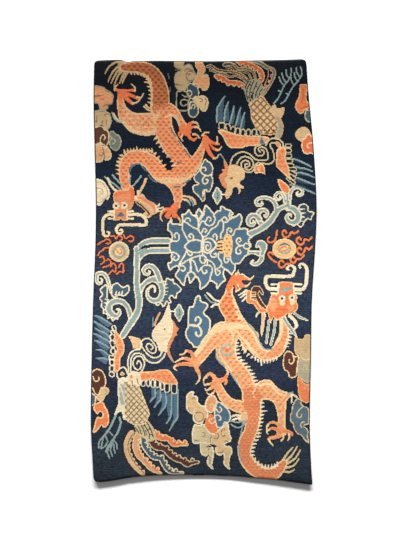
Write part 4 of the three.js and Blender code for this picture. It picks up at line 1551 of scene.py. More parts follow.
class Pearls(Motif):
    """The two flaming pearls, each before a dragon's face."""

    LEFT_FLAMES = (
        ((-372, 142), (-358, 143), (-350, 133), (-340, 145), (-328, 140), (-326, 128),
            (-335, 123)),
        ((-320, 148), (-312, 133), (-303, 137), (-295, 142), (-283, 140), (-281, 128), (-290, 120),
            (-298, 123)),
        ((-423, 107), (-412, 117), (-400, 122), (-390, 130), (-378, 128), (-372, 118), (-380, 112),
            (-388, 113)),
        ((-423, 65), (-413, 80), (-402, 87), (-395, 95), (-375, 97)),
        ((-415, 57), (-405, 62), (-398, 52), (-397, 40), (-410, 30)),
        ((-388, 45), (-382, 50), (-372, 42), (-372, 30), (-385, 23), (-402, 17)),
        ((-372, 20), (-362, 33), (-352, 25), (-350, 10), (-355, -2), (-365, 5), (-378, -10)),
        ((-340, 18), (-332, 32), (-322, 30), (-320, 10), (-322, -2), (-335, 0), (-348, -10)),
    )
    RIGHT_FLAMES = (
        ((262, 138), (255, 130), (258, 120), (272, 117), (285, 127), (290, 145), (293, 163)),
        ((330, 155), (325, 165), (315, 160), (315, 148), (325, 138), (340, 142), (350, 158),
         (362, 152), (377, 162)),
        ((388, 128), (382, 138), (372, 130), (372, 118), (385, 108), (398, 115), (405, 130),
         (420, 125), (432, 138)),
        ((390, 88), (383, 97), (374, 90), (375, 77), (387, 68), (400, 78), (408, 95), (420, 88),
         (432, 100)),
        ((362, 55), (355, 60), (347, 52), (350, 40), (362, 36), (372, 50), (388, 52), (400, 65)),
        ((318, 38), (312, 45), (302, 40), (300, 28), (308, 17), (320, 20), (328, 30), (345, 32)),
        ((277, 70), (268, 78), (258, 72), (262, 60), (275, 47), (288, 38)),
    )

    def draw(self, chart: KnotChart) -> None:
        """Paints the flames, then the rings and cores."""
        chart.lines(Yarn.CORAL, 3.2, *self.LEFT_FLAMES)
        chart.lines(Yarn.FLAME, 4, *self.RIGHT_FLAMES)
        chart.lay(Lobe(-338, 80, 41, 41), Yarn.GOLD, Yarn.IVORY, rim=5, halo=4)
        chart.lay(Lobe(-338, 80, 27, 28), Yarn.GREY, Yarn.SAGE, rim=4, halo=0)
        chart.lay(Lobe(-338, 80, 17, 18), Yarn.PALE, halo=0)
        chart.line(Yarn.TANGERINE, 3, (-354, 96), (-344, 80), (-334, 70), (-326, 82), (-334, 92),
                   halo=0)
        chart.lay(Lobe(322, 91, 48, 41), Yarn.AMBER, Yarn.PALE, rim=6, halo=4)
        chart.lay(Lobe(322, 91, 31, 25), Yarn.GREY, Yarn.PALE, rim=3, halo=0)
        chart.lay(Lobe(322, 92, 22, 15), Yarn.PALE, halo=0)
        chart.lines(Yarn.TANGERINE, 4, ((302, 88), (314, 98), (330, 100)),
                    ((312, 82), (326, 84), (340, 94)), halo=0)
        chart.line(Yarn.SLATE, 3, (306, 106), (324, 112), (342, 104), halo=0)


class Lotus(Motif):
    """The lotus in the middle of the rug: blue petals with cream outlines round a pod."""

    OUTLINE = (
        (-145, 163), (-146, 188), (-132, 206), (-123, 193), (-106, 194), (-89, 192), (-89, 226),
        (-84, 231), (-73, 234), (-59, 250), (-46, 232), (-36, 227), (-27, 245), (-18, 254),
        (-9, 243), (-2, 236), (0, 256), (7, 267), (14, 265), (32, 245), (42, 235), (55, 246),
        (64, 247), (65, 259), (71, 263), (80, 261), (91, 252), (107, 247), (116, 238), (119, 229),
        (114, 222), (127, 224), (143, 234), (152, 225), (155, 213), (153, 196), (146, 176),
        (162, 175), (177, 171), (179, 152), (191, 141), (183, 124), (190, 110), (190, 98),
        (180, 86), (180, 68), (166, 58), (154, 42), (142, 29), (129, 29), (129, 11), (120, -5),
        (111, -15), (97, -1), (86, 6), (82, -4), (82, -12), (89, -30), (85, -39), (74, -46),
        (56, -69), (49, -62), (48, -51), (33, -41), (25, -40), (15, -53), (-10, -73), (-18, -66),
        (-18, -44), (-30, -23), (-46, -43), (-53, -49), (-58, -44), (-66, -17), (-74, -46),
        (-80, -58), (-103, -33), (-115, -19), (-114, -7), (-103, 8), (-104, 20), (-122, 14),
        (-134, 4), (-144, 21), (-143, 37), (-130, 42), (-132, 59), (-130, 71), (-138, 84),
        (-138, 116), (-130, 126), (-132, 155),
    )
    VEINS = (
        ((-85, 194), (-85, 172), (-80, 158), (-71, 140), (-62, 124)),
        ((-130, 124), (-116, 121), (-103, 124), (-98, 134), (-98, 144), (-105, 154), (-113, 152),
            (-117, 144), (-114, 137)),
        ((-130, 76), (-118, 76), (-106, 71), (-99, 61), (-103, 50), (-113, 45), (-120, 51),
            (-116, 60)),
        ((-84, 198), (-76, 205), (-70, 212), (-62, 215), (-55, 210), (-53, 202)),
        ((-86, 200), (-70, 197), (-56, 186), (-42, 177), (-26, 170), (-14, 155), (-4, 140)),
        ((-42, 128), (-40, 140), (-47, 150), (-56, 149), (-59, 141), (-53, 137)),
        ((-38, 226), (-27, 214), (-22, 200), (-21, 184), (-20, 168)),
        ((-30, 238), (-28, 224), (-21, 210)), ((-8, 240), (-7, 230), (-13, 219), (-19, 207)),
        ((3, 242), (0, 228), (-10, 214), (-19, 200)),
        ((39, 233), (40, 224), (45, 214), (44, 202), (37, 190), (24, 184), (10, 188), (3, 198),
            (-6, 201), (-14, 191), (-19, 178)),
        ((4, 199), (10, 206), (14, 214), (21, 218), (28, 213), (29, 205), (23, 202)),
        ((-10, 150), (-5, 162), (0, 172), (8, 171), (11, 163), (6, 158)),
        ((-2, 138), (10, 143), (20, 154), (30, 170), (44, 177), (55, 188), (62, 203), (71, 207),
            (76, 214), (84, 218), (91, 213), (90, 206)),
        ((72, 206), (78, 196), (78, 168), (70, 152), (68, 134)),
        ((52, 126), (53, 138), (48, 149), (40, 148), (39, 139)),
        ((108, 240), (102, 226), (104, 208)),
        ((80, 197), (92, 198), (102, 207), (114, 214), (130, 220)),
        ((92, 152), (92, 163), (97, 172), (106, 174), (113, 166), (109, 159), (103, 163)),
        ((112, 144), (120, 150), (124, 162), (130, 169), (150, 170)),
        ((160, 104), (146, 104), (135, 111), (130, 123), (135, 133), (144, 133), (149, 124),
            (142, 119)),
        ((148, 103), (134, 97), (128, 85), (132, 74), (142, 71), (149, 78), (144, 86)),
        ((84, 60), (82, 46), (88, 37), (97, 40), (99, 50), (93, 52)),
        ((106, 60), (108, 46), (115, 34), (126, 27)),
        ((60, 74), (58, 58), (64, 49), (70, 40), (70, 28), (64, 19), (52, 10)),
        ((68, 24), (80, 14), (92, 5)),
        ((32, 82), (27, 72), (30, 61), (40, 57), (49, 62), (48, 72), (41, 71)),
        ((-66, 84), (-62, 72), (-56, 64), (-48, 66), (-47, 74)), ((-68, 84), (-76, 66), (-98, 30)),
        ((-103, 22), (-84, 33), (-64, 46), (-40, 57), (-10, 65), (4, 62), (13, 48), (14, 28)),
        ((-14, 60), (-15, 48), (-8, 36), (2, 35), (8, 44), (3, 50)),
        ((12, 50), (26, 43), (36, 36), (43, 24), (46, 8)),
        ((-50, 48), (-39, 41), (-32, 25), (-27, 8), (-22, 0), (-14, 8), (-6, 20), (6, 26),
            (20, 26), (31, 19), (35, 7), (30, -8), (27, -22), (27, -38)),
        ((-8, 16), (-6, 2), (0, -6), (8, -6), (13, 1), (8, 5)),
        ((48, 10), (47, -2), (51, -12), (59, -13), (65, -5), (63, 5), (56, 3)),
        ((-68, -18), (-62, -6), (-52, -1), (-41, -4), (-34, -14), (-29, -24)),
        ((-94, 24), (-84, 24), (-76, 18), (-75, 8), (-82, 3), (-89, 7)),
    )

    def draw(self, chart: KnotChart) -> None:
        """Paints the petals as one blue shape with cream outlines, then the heart."""
        chart.lay(Patch(*self.OUTLINE), Yarn.BLUE, Yarn.CREAM, rim=6.4, halo=4)
        chart.lines(Yarn.CREAM, 2.9, *self.VEINS, halo=0)
        chart.line(Yarn.CREAM, 4, (-53, 50), (-52, 24), (-52, 0), halo=0)
        for heart in (
            ((-79, 100), (-62, 121), (-46, 129), (-20, 129), (-6, 120), (-5, 84), (-18, 74),
             (-46, 74), (-62, 80)),
            ((-4, 104), (-2, 126), (12, 136), (26, 136), (42, 127), (54, 104), (44, 90),
             (30, 78), (14, 71), (-2, 80)),
        ):
            chart.lay(Patch(*heart), Yarn.BLUE, Yarn.CREAM, rim=7, halo=0)
        chart.line(Yarn.CREAM, 4, (-4, 142), (-5, 102), (-4, 64), halo=0)
        chart.lay(Lobe(171, 102, 15, 14), Yarn.BLUE, Yarn.CREAM, rim=5.4, halo=0)
        chart.line(Yarn.CREAM, 2.9, (5, 117), (16, 119), (26, 113), (29, 101), (24, 89), (14, 86),
                   (8, 95), (12, 106), (19, 104), halo=0)
        pod = Patch((76, 105), (80, 130), (85, 148), (96, 151), (110, 142), (116, 110),
                    (112, 76), (104, 60), (85, 58), (78, 80))
        chart.lay([pod, Patch((50, 104), (56, 122), (76, 134), (76, 74), (56, 84))],
                  Yarn.AMBER, Yarn.PALE, rim=4, halo=0)
        for y, end in ((123, 130), (110, 113), (97, 99), (85, 84)):
            chart.line(Yarn.BROWN, 2.8, (54, y), (74, end), halo=0)
        chart.spots(pod, Yarn.TAUPE, (19, 15), (3.6, 3), [Yarn.AMBER], (92, 103))


class Stems(Motif):
    """The stems and leaves that run from the lotus to both sides, and the two flowers."""

    RIGHT = (
        ((178, 146, 17), (196, 156, 14), (214, 164, 13), (239, 179, 14), (264, 200, 14),
            (281, 224, 13), (296, 246, 12), (317, 258, 10), (336, 264, 12)),
        ((236, 186, 12), (220, 206, 12), (216, 226, 11), (226, 243, 10), (244, 246, 9),
            (254, 234, 8), (249, 221, 7), (240, 224, 4)),
        ((222, 210, 12), (206, 224, 11), (188, 222, 11), (178, 207, 10), (180, 192, 9),
            (193, 186, 9), (202, 194, 7), (198, 204, 4)),
        ((291, 244, 12), (288, 266, 10), (276, 284, 9), (256, 294, 8), (226, 294, 8),
            (211, 284, 8), (211, 271, 8), (222, 265, 7), (234, 270, 6), (232, 279, 4)),
        ((336, 256, 15), (336, 284, 14), (334, 308, 14), (330, 326, 6)),
        ((326, 276, 8), (322, 298, 8), (312, 313, 7), (298, 315, 7), (287, 306, 7), (286, 294, 7),
            (297, 287, 6), (308, 294, 5), (303, 302, 3)),
        ((344, 290, 8), (346, 314, 8), (356, 331, 8), (376, 336, 7), (393, 326, 7), (393, 312, 7),
            (381, 304, 7), (371, 311, 5), (376, 319, 3)),
        ((338, 258, 12), (362, 248, 14), (377, 228, 14), (374, 206, 14), (358, 196, 12),
            (342, 200, 11), (332, 212, 9), (335, 226, 7), (346, 230, 6), (350, 221, 4)),
        ((166, 76, 9), (196, 77, 8), (218, 74, 11), (231, 62, 11), (226, 42, 10), (208, 30, 9),
            (192, 34, 7), (196, 44, 5)),
        ((232, 70, 10), (238, 86, 12), (236, 104, 18), (222, 114, 12), (212, 100, 6)),
    )
    LEFT = (
        ((-140, 123, 12.5), (-206, 123, 12.5), (-232, 117, 12.5), (-252, 104, 12), (-266, 84, 12)),
        ((-140, 85, 12.5), (-202, 85, 12.5), (-227, 80, 12), (-249, 67, 12), (-264, 46, 12)),
        ((-268, 92, 12), (-267, 40, 13), (-267, -20, 13), (-266, -66, 14), (-259, -100, 15),
         (-259, -140, 14), (-270, -172, 15), (-292, -206, 15), (-324, -256, 13)),
        ((-257, -100, 9), (-248, -64, 10), (-230, -42, 11), (-205, -30, 13), (-182, -36, 14),
         (-168, -60, 13), (-168, -92, 12), (-180, -112, 12), (-202, -116, 11), (-220, -104, 9),
         (-226, -84, 7), (-219, -66, 6), (-204, -58, 6), (-194, -67, 5), (-196, -80, 4)),
        ((-176, -34, 12), (-186, -4, 12), (-202, 18, 11), (-222, 23, 10), (-238, 12, 9),
         (-238, -3, 8), (-226, -11, 7), (-215, -4, 5), (-220, 4, 3)),
        ((-286, -206, 12), (-294, -170, 11), (-305, -140, 11), (-326, -120, 12), (-352, -118, 13),
         (-374, -130, 13), (-378, -154, 14), (-364, -172, 13), (-346, -176, 10), (-336, -164, 8),
         (-339, -151, 6), (-347, -150, 4)),
        ((-370, -82, 6), (-380, -42, 8), (-393, -14, 9), (-412, -5, 9), (-427, -14, 9),
         (-428, -32, 8), (-420, -46, 7), (-409, -44, 6), (-406, -32, 4), (-412, -26, 3)),
    )

    def draw(self, chart: KnotChart) -> None:
        """Paints the leaves, the stems as two shapes with pale edges, and the flowers."""
        self.leaves(chart)
        for side in (self.RIGHT, self.LEFT):
            shapes = [Stroke(9, *path) for path in side]
            for shape in shapes:
                chart.lay(shape, Yarn.SAGE, Yarn.CREAM, rim=5.6)
            chart.lay(shapes[0], Yarn.SAGE, Yarn.CREAM, rim=5.6, halo=0)
        chart.lay(Stroke(13, *self.LEFT[2]), Yarn.SAGE, Yarn.CREAM, rim=5.6, halo=0)
        chart.lines(Yarn.NIGHT, 2.2, ((-258, 84), (-246, 96), (-232, 104), (-200, 107)), halo=0)
        for path in (
            ((-262, 70), (-240, 88), (-226, 86)), ((-262, -90), (-254, -110)),
            ((340, 258), (334, 284)), ((-266, -164), (-290, -196)), ((250, 190), (230, 176)),
            ((288, 240), (290, 250))
        ):
            chart.line(Yarn.SAGE, 4.5, *path, halo=0)
        self.flowers(chart)

    PETALS = (
        (0, 36), (6, 30), (12, 20), (20, 12), (17, 2), (20, -8), (14, -18), (8, -28), (0, -37),
        (-8, -29), (-12, -16), (-20, -6), (-18, 8), (-12, 18), (-7, 30),
    )

    def leaves(self, chart: KnotChart) -> None:
        """Paints the scalloped slate leaves with their toothed pale edges."""
        for outline in (
            ((378, 258), (387, 270), (408, 271), (419, 258), (419, 245), (434, 241), (443, 234),
             (434, 219), (430, 206), (413, 208), (404, 197), (395, 180), (382, 178), (372, 186),
             (358, 180), (350, 190), (370, 214)),
            ((-372, -84), (-366, -54), (-346, -43), (-333, -52), (-320, -60), (-302, -52),
             (-294, -72), (-306, -90), (-320, -100), (-336, -96), (-360, -104)),
            ((-384, -54), (-404, -58), (-416, -74), (-407, -91), (-418, -106), (-409, -122),
             (-412, -138), (-402, -152), (-404, -166), (-388, -172), (-386, -188), (-372, -186),
             (-364, -200), (-352, -190), (-340, -192), (-350, -170), (-380, -120)),
            ((-158, -54), (-152, -30), (-142, -24), (-130, -30), (-122, -26), (-117, -44),
             (-106, -48), (-96, -58), (-88, -68), (-94, -82), (-104, -88), (-108, -106),
             (-120, -106), (-128, -97), (-134, -108), (-128, -122), (-140, -128), (-148, -122),
             (-153, -134), (-164, -142), (-171, -129), (-180, -136), (-192, -133), (-196, -122),
             (-212, -122), (-180, -100)),
        ):
            chart.lay(Patch(*outline), Yarn.DUSK if outline[0][0] > 0 else Yarn.STEEL, Yarn.CREAM,
                      rim=5.4)
        chart.comb(
            Yarn.CREAM, 3, ((-160, -40), (-158, -52), (-157, -66), (-158, -80), (-160, -92)),
            (14, 2), halo=0
        )
        chart.comb(Yarn.CREAM, 2.6, ((-168, -106), (-180, -112), (-192, -114)), (5, -12), halo=0)
        chart.comb(Yarn.CREAM, 2.6, ((-382, -112), (-386, -126), (-387, -140), (-384, -154),
                                     (-378, -168)), (-13, 2), halo=0)
        chart.comb(Yarn.CREAM, 3, ((386, 250), (388, 234), (388, 218), (384, 202)), (18, 0),
                   halo=0)
        chart.comb(Yarn.CREAM, 3, ((-352, -92), (-340, -92), (-328, -90)), (4, 14), halo=0)

    def flowers(self, chart: KnotChart) -> None:
        """Paints the two small flowers by the birds' beaks."""
        for x, y, side in ((54, 304, 1), (-98, -163, -1)):
            petals = Patch(*((x + side * dx, y + dy) for dx, dy in self.PETALS))
            chart.lay(petals, Yarn.SAGE, Yarn.CREAM, rim=5)
            chart.line(Yarn.STEEL, 2, (x, y + 12), (x + 3, y), (x, y - 12), halo=0)
            chart.line(Yarn.CREAM, 2.8, (x + side * 18, y + 4), (x + side * 36, y + 6), halo=2)


MOTIFS: tuple[type[Motif], ...] = (
    Clouds, Stems, UpperPhoenix, LowerPhoenix, UpperDragon, LowerDragon, Pearls, Lotus,
)


def curve_through(table: np.ndarray, at: np.ndarray) -> np.ndarray:
    """The value of a two-column table on a smooth curve through its rows.

    A cubic between each two rows, whose slope at a row is that between its neighbours.

    Args:
        table: Rows of key and value, keys rising.
        at: The keys that are asked for.

    Returns:
        The value at each key.
    """
    key, value = table.T
    before = np.maximum(np.arange(len(key)) - 1, 0)
    after = np.minimum(np.arange(len(key)) + 1, len(key) - 1)
    slope = (value[after] - value[before]) / (key[after] - key[before])
    i = np.clip(np.searchsorted(key, at) - 1, 0, len(key) - 2)
    span = key[i + 1] - key[i]
    t = np.clip((at - key[i]) / span, 0, 1)
    return (
        value[i] * (1 + 2 * t) * (1 - t) ** 2
        + value[i + 1] * t * t * (3 - 2 * t)
        + span * (slope[i] * t * (1 - t) ** 2 - slope[i + 1] * t * t * (1 - t))
    )


@dataclass(frozen=True)
class SideRow:
    """Where the two side edges lie at a place along the rug, in millimetres."""

    y: float
    left: float
    right: float


@dataclass(frozen=True)
class EndRow:
    """Where the ends lie at a place across the rug, and how the lower one curls up."""

    x: float
    lower: float
    upper: float
    lift: float
    curl: float


@dataclass(frozen=True)
class RugSurface:
    """The rug's cloth: its outline, its thickness and how it lies, as the CAD solid has them."""

    thickness: float = 9.0
    selvedge_height: float = 4.5
    side_rounding: float = 8.0
    web_length: float = 4.0
    web_thickness: float = 2.5
    end_rounding: float = 6.0
    pile_foot: float = 5.5
    width: float = 870.0
    length: float = 1670.0
    corner_fade: float = 16.0
    ripple_height: float = 3.0
    ripple_length: float = 620.0
    ripple_width: float = 70.0
    tufts_across: int = 144
    tufts_along: int = 276
    edge_lines: tuple[float, ...] = (0, 1.5, 4.0)
    foot_lines: tuple[float, ...] = (0.4, 2.5)
    edge_knots: int = 4
    web_knots: int = 2
    lower_left: float = 22.0
    lower_right: float = 4.0
    upper_left: float = 14.0
    upper_right: float = 17.0
    sides: tuple[SideRow, ...] = (
        SideRow(-850, -437, 435), SideRow(-760, -443, 429), SideRow(-600, -451, 424),
        SideRow(-300, -447, 429), SideRow(-100, -441, 433), SideRow(100, -433, 446),
        SideRow(267, -431, 451), SideRow(500, -436, 438), SideRow(700, -440, 419),
        SideRow(850, -437, 408),
    )
    ends: tuple[EndRow, ...] = (
        EndRow(-440, -842, 844, 12, 170), EndRow(-370, -835, 847, 11, 160),
        EndRow(-330, -828, 847, 11, 155), EndRow(-307, -824, 839, 10, 150),
        EndRow(-280, -821, 842, 10, 145), EndRow(-200, -815, 844, 8, 130),
        EndRow(-100, -814, 843, 5, 115), EndRow(0, -814, 842, 4, 110),
        EndRow(100, -818, 843, 4, 110), EndRow(200, -825, 845, 7, 125),
        EndRow(300, -833, 847, 10, 145), EndRow(440, -851, 851, 12, 170),
    )

    def side(self, name: str) -> np.ndarray:
        """The side table's rows of y and one named column."""
        return np.array([(row.y, getattr(row, name)) for row in self.sides])

    def end(self, name: str) -> np.ndarray:
        """The end table's rows of x and one named column."""
        return np.array([(row.x, getattr(row, name)) for row in self.ends])

    @staticmethod
    def spread(edge: np.ndarray, steps: int) -> np.ndarray:
        """Grid lines: those of one edge, even steps, and the edge's lines mirrored."""
        even = np.linspace(edge[-1], 1 - edge[-1], steps + 1)
        return np.concatenate([edge[:-1], even, 1 - edge[-2::-1]])

    def across_lines(self) -> np.ndarray:
        """Grid lines across: the overcast edges, then even steps of two knots."""
        return self.spread(np.array(self.edge_lines) / self.width, self.tufts_across)

    def along_lines(self) -> np.ndarray:
        """Grid lines along: the bare web, the pile's foot, then even steps of two knots."""
        foot = [self.web_length + line for line in self.foot_lines]
        edge = np.array([0, self.web_length, *foot]) / self.length
        return self.spread(edge, self.tufts_along)

    @staticmethod
    def drawn_in(radius: float, distance: np.ndarray) -> np.ndarray:
        """How far an edge rounded with a radius draws in, by the circle's own height."""
        gap = np.clip(radius - distance, 0, radius)
        return radius - np.sqrt(radius * radius - gap * gap)

    def plan(self, u: np.ndarray, v: np.ndarray) -> tuple[np.ndarray, np.ndarray]:
        """The place on the floor of each point at shares u across and v along.

        x runs evenly between the two side edges at that height, drawn in at the corners, and
        y evenly between the two ends at that x.

        Args:
            u: Shares across, from the left edge.
            v: Shares along, from the lower end.

        Returns:
            x and y in millimetres.
        """
        nominal = (v - 0.5) * self.length
        left = curve_through(self.side("left"), nominal)
        right = curve_through(self.side("right"), nominal)
        low, high = v * self.length, (1 - v) * self.length
        left_in = self.drawn_in(self.lower_left, low) + self.drawn_in(self.upper_left, high)
        right_in = self.drawn_in(self.lower_right, low) + self.drawn_in(self.upper_right, high)
        x = left + (right - left) * u + left_in * (1 - u) ** self.corner_fade
        x = x - right_in * u**self.corner_fade
        lower = curve_through(self.end("lower"), x)
        upper = curve_through(self.end("upper"), x)
        return x, lower + (upper - lower) * v

    def lift(self, u: np.ndarray, v: np.ndarray, x: np.ndarray) -> np.ndarray:
        """How far the underside stands off the floor.

        The lower end's curl falls with the square of the distance from the end, and each
        side ripples as the upper half of a sine that dies out inwards.

        Args:
            u: Shares across.
            v: Shares along.
            x: Places across, in millimetres.

        Returns:
            The height in millimetres.
        """
        share = np.maximum(0, 1 - v * self.length / curve_through(self.end("curl"), x))
        curled = curve_through(self.end("lift"), x) * share**2
        phase = v * self.length / self.ripple_length + np.where(u < 0.5, 0.0, 0.5)
        inward = np.maximum(0, 1 - np.minimum(u, 1 - u) * self.width / self.ripple_width) ** 2
        return curled + self.ripple_height * np.maximum(0, np.sin(2 * np.pi * phase)) * inward

    def depth(self, u: np.ndarray, v: np.ndarray) -> np.ndarray:
        """The cloth's thickness: quarter rounds at the edges, and a step down to the web.

        Args:
            u: Shares across.
            v: Shares along.

        Returns:
            The thickness in millimetres.
        """
        inside = np.minimum(np.minimum(u, 1 - u) * self.width / self.side_rounding, 1)
        at_side = self.selvedge_height + (self.thickness - self.selvedge_height) * np.sqrt(
            1 - (1 - inside) ** 2
        )
        from_web = np.minimum(v, 1 - v) * self.length - self.web_length
        beyond = np.clip(from_web / self.end_rounding, 0, 1)
        at_end = self.pile_foot + (self.thickness - self.pile_foot) * np.sqrt(
            1 - (1 - beyond) ** 2
        )
        return np.where(from_web < 0.01, self.web_thickness, np.minimum(at_side, at_end))

    def knot_places(self) -> tuple[np.ndarray, np.ndarray]:
        """Where every knot stands: two by two in each cell of the grid, in millimetres."""
        u = self.halves(self.across_lines())
        v = self.halves(self.along_lines())
        return self.plan(*np.meshgrid(u, v))

    @staticmethod
    def halves(lines: np.ndarray) -> np.ndarray:
        """The middles of the two halves of each step between grid lines."""
        start, step = lines[:-1], np.diff(lines)
        return np.stack([start + 0.25 * step, start + 0.75 * step], 1).ravel()


class Nodes:
    """A small helper that adds shader nodes to one tree and links them."""

    def __init__(self, tree: bpy.types.NodeTree) -> None:
        """Keeps the tree."""
        self.tree = tree

    @classmethod
    def group(cls, name: str, inputs: Sequence[str], outputs: Sequence[str]) -> "Nodes":
        """Starts a node group, whose sockets are numbers but for one named Color."""
        tree = bpy.data.node_groups.new(name, "ShaderNodeTree")
        for side, sockets in (("INPUT", inputs), ("OUTPUT", outputs)):
            for socket in sockets:
                kind = "NodeSocketColor" if socket == "Color" else "NodeSocketFloat"
                tree.interface.new_socket(socket, in_out=side, socket_type=kind)
        return cls(tree)

    def add(self, kind: str, **settings: object) -> bpy.types.Node:
        """Adds a node and sets its properties."""
        node = self.tree.nodes.new(kind)
        for name, value in settings.items():
            setattr(node, name, value)
        return node

    def feed(self, socket: bpy.types.NodeSocket, value: object) -> None:
        """Links a socket to another, or sets its value."""
        if isinstance(value, bpy.types.NodeSocket):
            self.tree.links.new(value, socket)
        else:
            socket.default_value = value

    def math(self, operation: str, *values: object, clamp: bool = False) -> bpy.types.NodeSocket:
        """Adds a Math node and returns its output."""
        node = self.add("ShaderNodeMath", operation=operation, use_clamp=clamp)
        for socket, value in zip(node.inputs, values):
            self.feed(socket, value)
        return node.outputs[0]

    def mixed(self, kind: str, letter: str, *values: object, **settings: object
              ) -> bpy.types.NodeSocket:
        """Adds a Mix node of one data type and returns its output."""
        node = self.add("ShaderNodeMix", data_type=kind, clamp_factor=True, **settings)
        sockets = {socket.identifier: socket for socket in (*node.inputs, *node.outputs)}
        for name, value in zip(("Factor_Float", f"A_{letter}", f"B_{letter}"), values):
            self.feed(sockets[name], value)
        return sockets[f"Result_{letter}"]

    def mix(
        self, share: object, first: object, second: object, blend: str = "MIX"
    ) -> bpy.types.NodeSocket:
        """Adds a colour Mix node and returns its output."""
        return self.mixed("RGBA", "Color", share, first, second, blend_type=blend)

    def blend(self, share: object, first: object, second: object) -> bpy.types.NodeSocket:
        """Adds a float Mix node and returns its output."""
        return self.mixed("FLOAT", "Float", share, first, second)

    def noise(self, vector: object, scale: float, detail: float = 2.0) -> bpy.types.NodeSocket:
        """Adds a noise texture and returns its value."""
        node = self.add("ShaderNodeTexNoise")
        self.feed(node.inputs["Vector"], vector)
        node.inputs["Scale"].default_value = scale
        node.inputs["Detail"].default_value = detail
        return node.outputs["Fac"]

    def grey(self, value: object) -> bpy.types.NodeSocket:
        """Makes a grey of one value, to dim a colour with."""
        node = self.add("ShaderNodeCombineXYZ")
        for socket in node.inputs:
            self.feed(socket, value)
        return node.outputs[0]

    def ramp(
        self, share: object, stops: Sequence[tuple[float, tuple[float, ...]]], step: bool = False
    ) -> bpy.types.NodeSocket:
        """Adds a colour ramp and returns its colour."""
        node = self.add("ShaderNodeValToRGB")
        node.color_ramp.interpolation = "CONSTANT" if step else "LINEAR"
        elements = node.color_ramp.elements
        for position, colour in stops[2:]:
            elements.new(position)
        for element, (position, colour) in zip(elements, stops):
            element.position = position
            element.color = (*colour, 1.0)
        self.feed(node.inputs[0], share)
        return node.outputs["Color"]


def linear(colour: Sequence[float]) -> tuple[float, float, float]:
    """A display colour of 0 to 255 as linear light, by the usual two-part curve."""
    share = np.asarray(colour, float) / 255
    light = np.where(share <= 0.04045, share / 12.92, ((share + 0.055) / 1.055) ** 2.4)
    return tuple(float(part) for part in light)


@dataclass(frozen=True)
class ToneStop:
    """The colour of the ground at a place along the rug, and how bright the other yarns are."""

    y: float
    ground: tuple[int, int, int]
    bright: float


@dataclass(frozen=True)
class Streak:
    """One size of the marks that uneven dyeing leaves: marks per metre, and their depth."""

    across: float
    along: float
    in_ground: float
    in_motifs: float


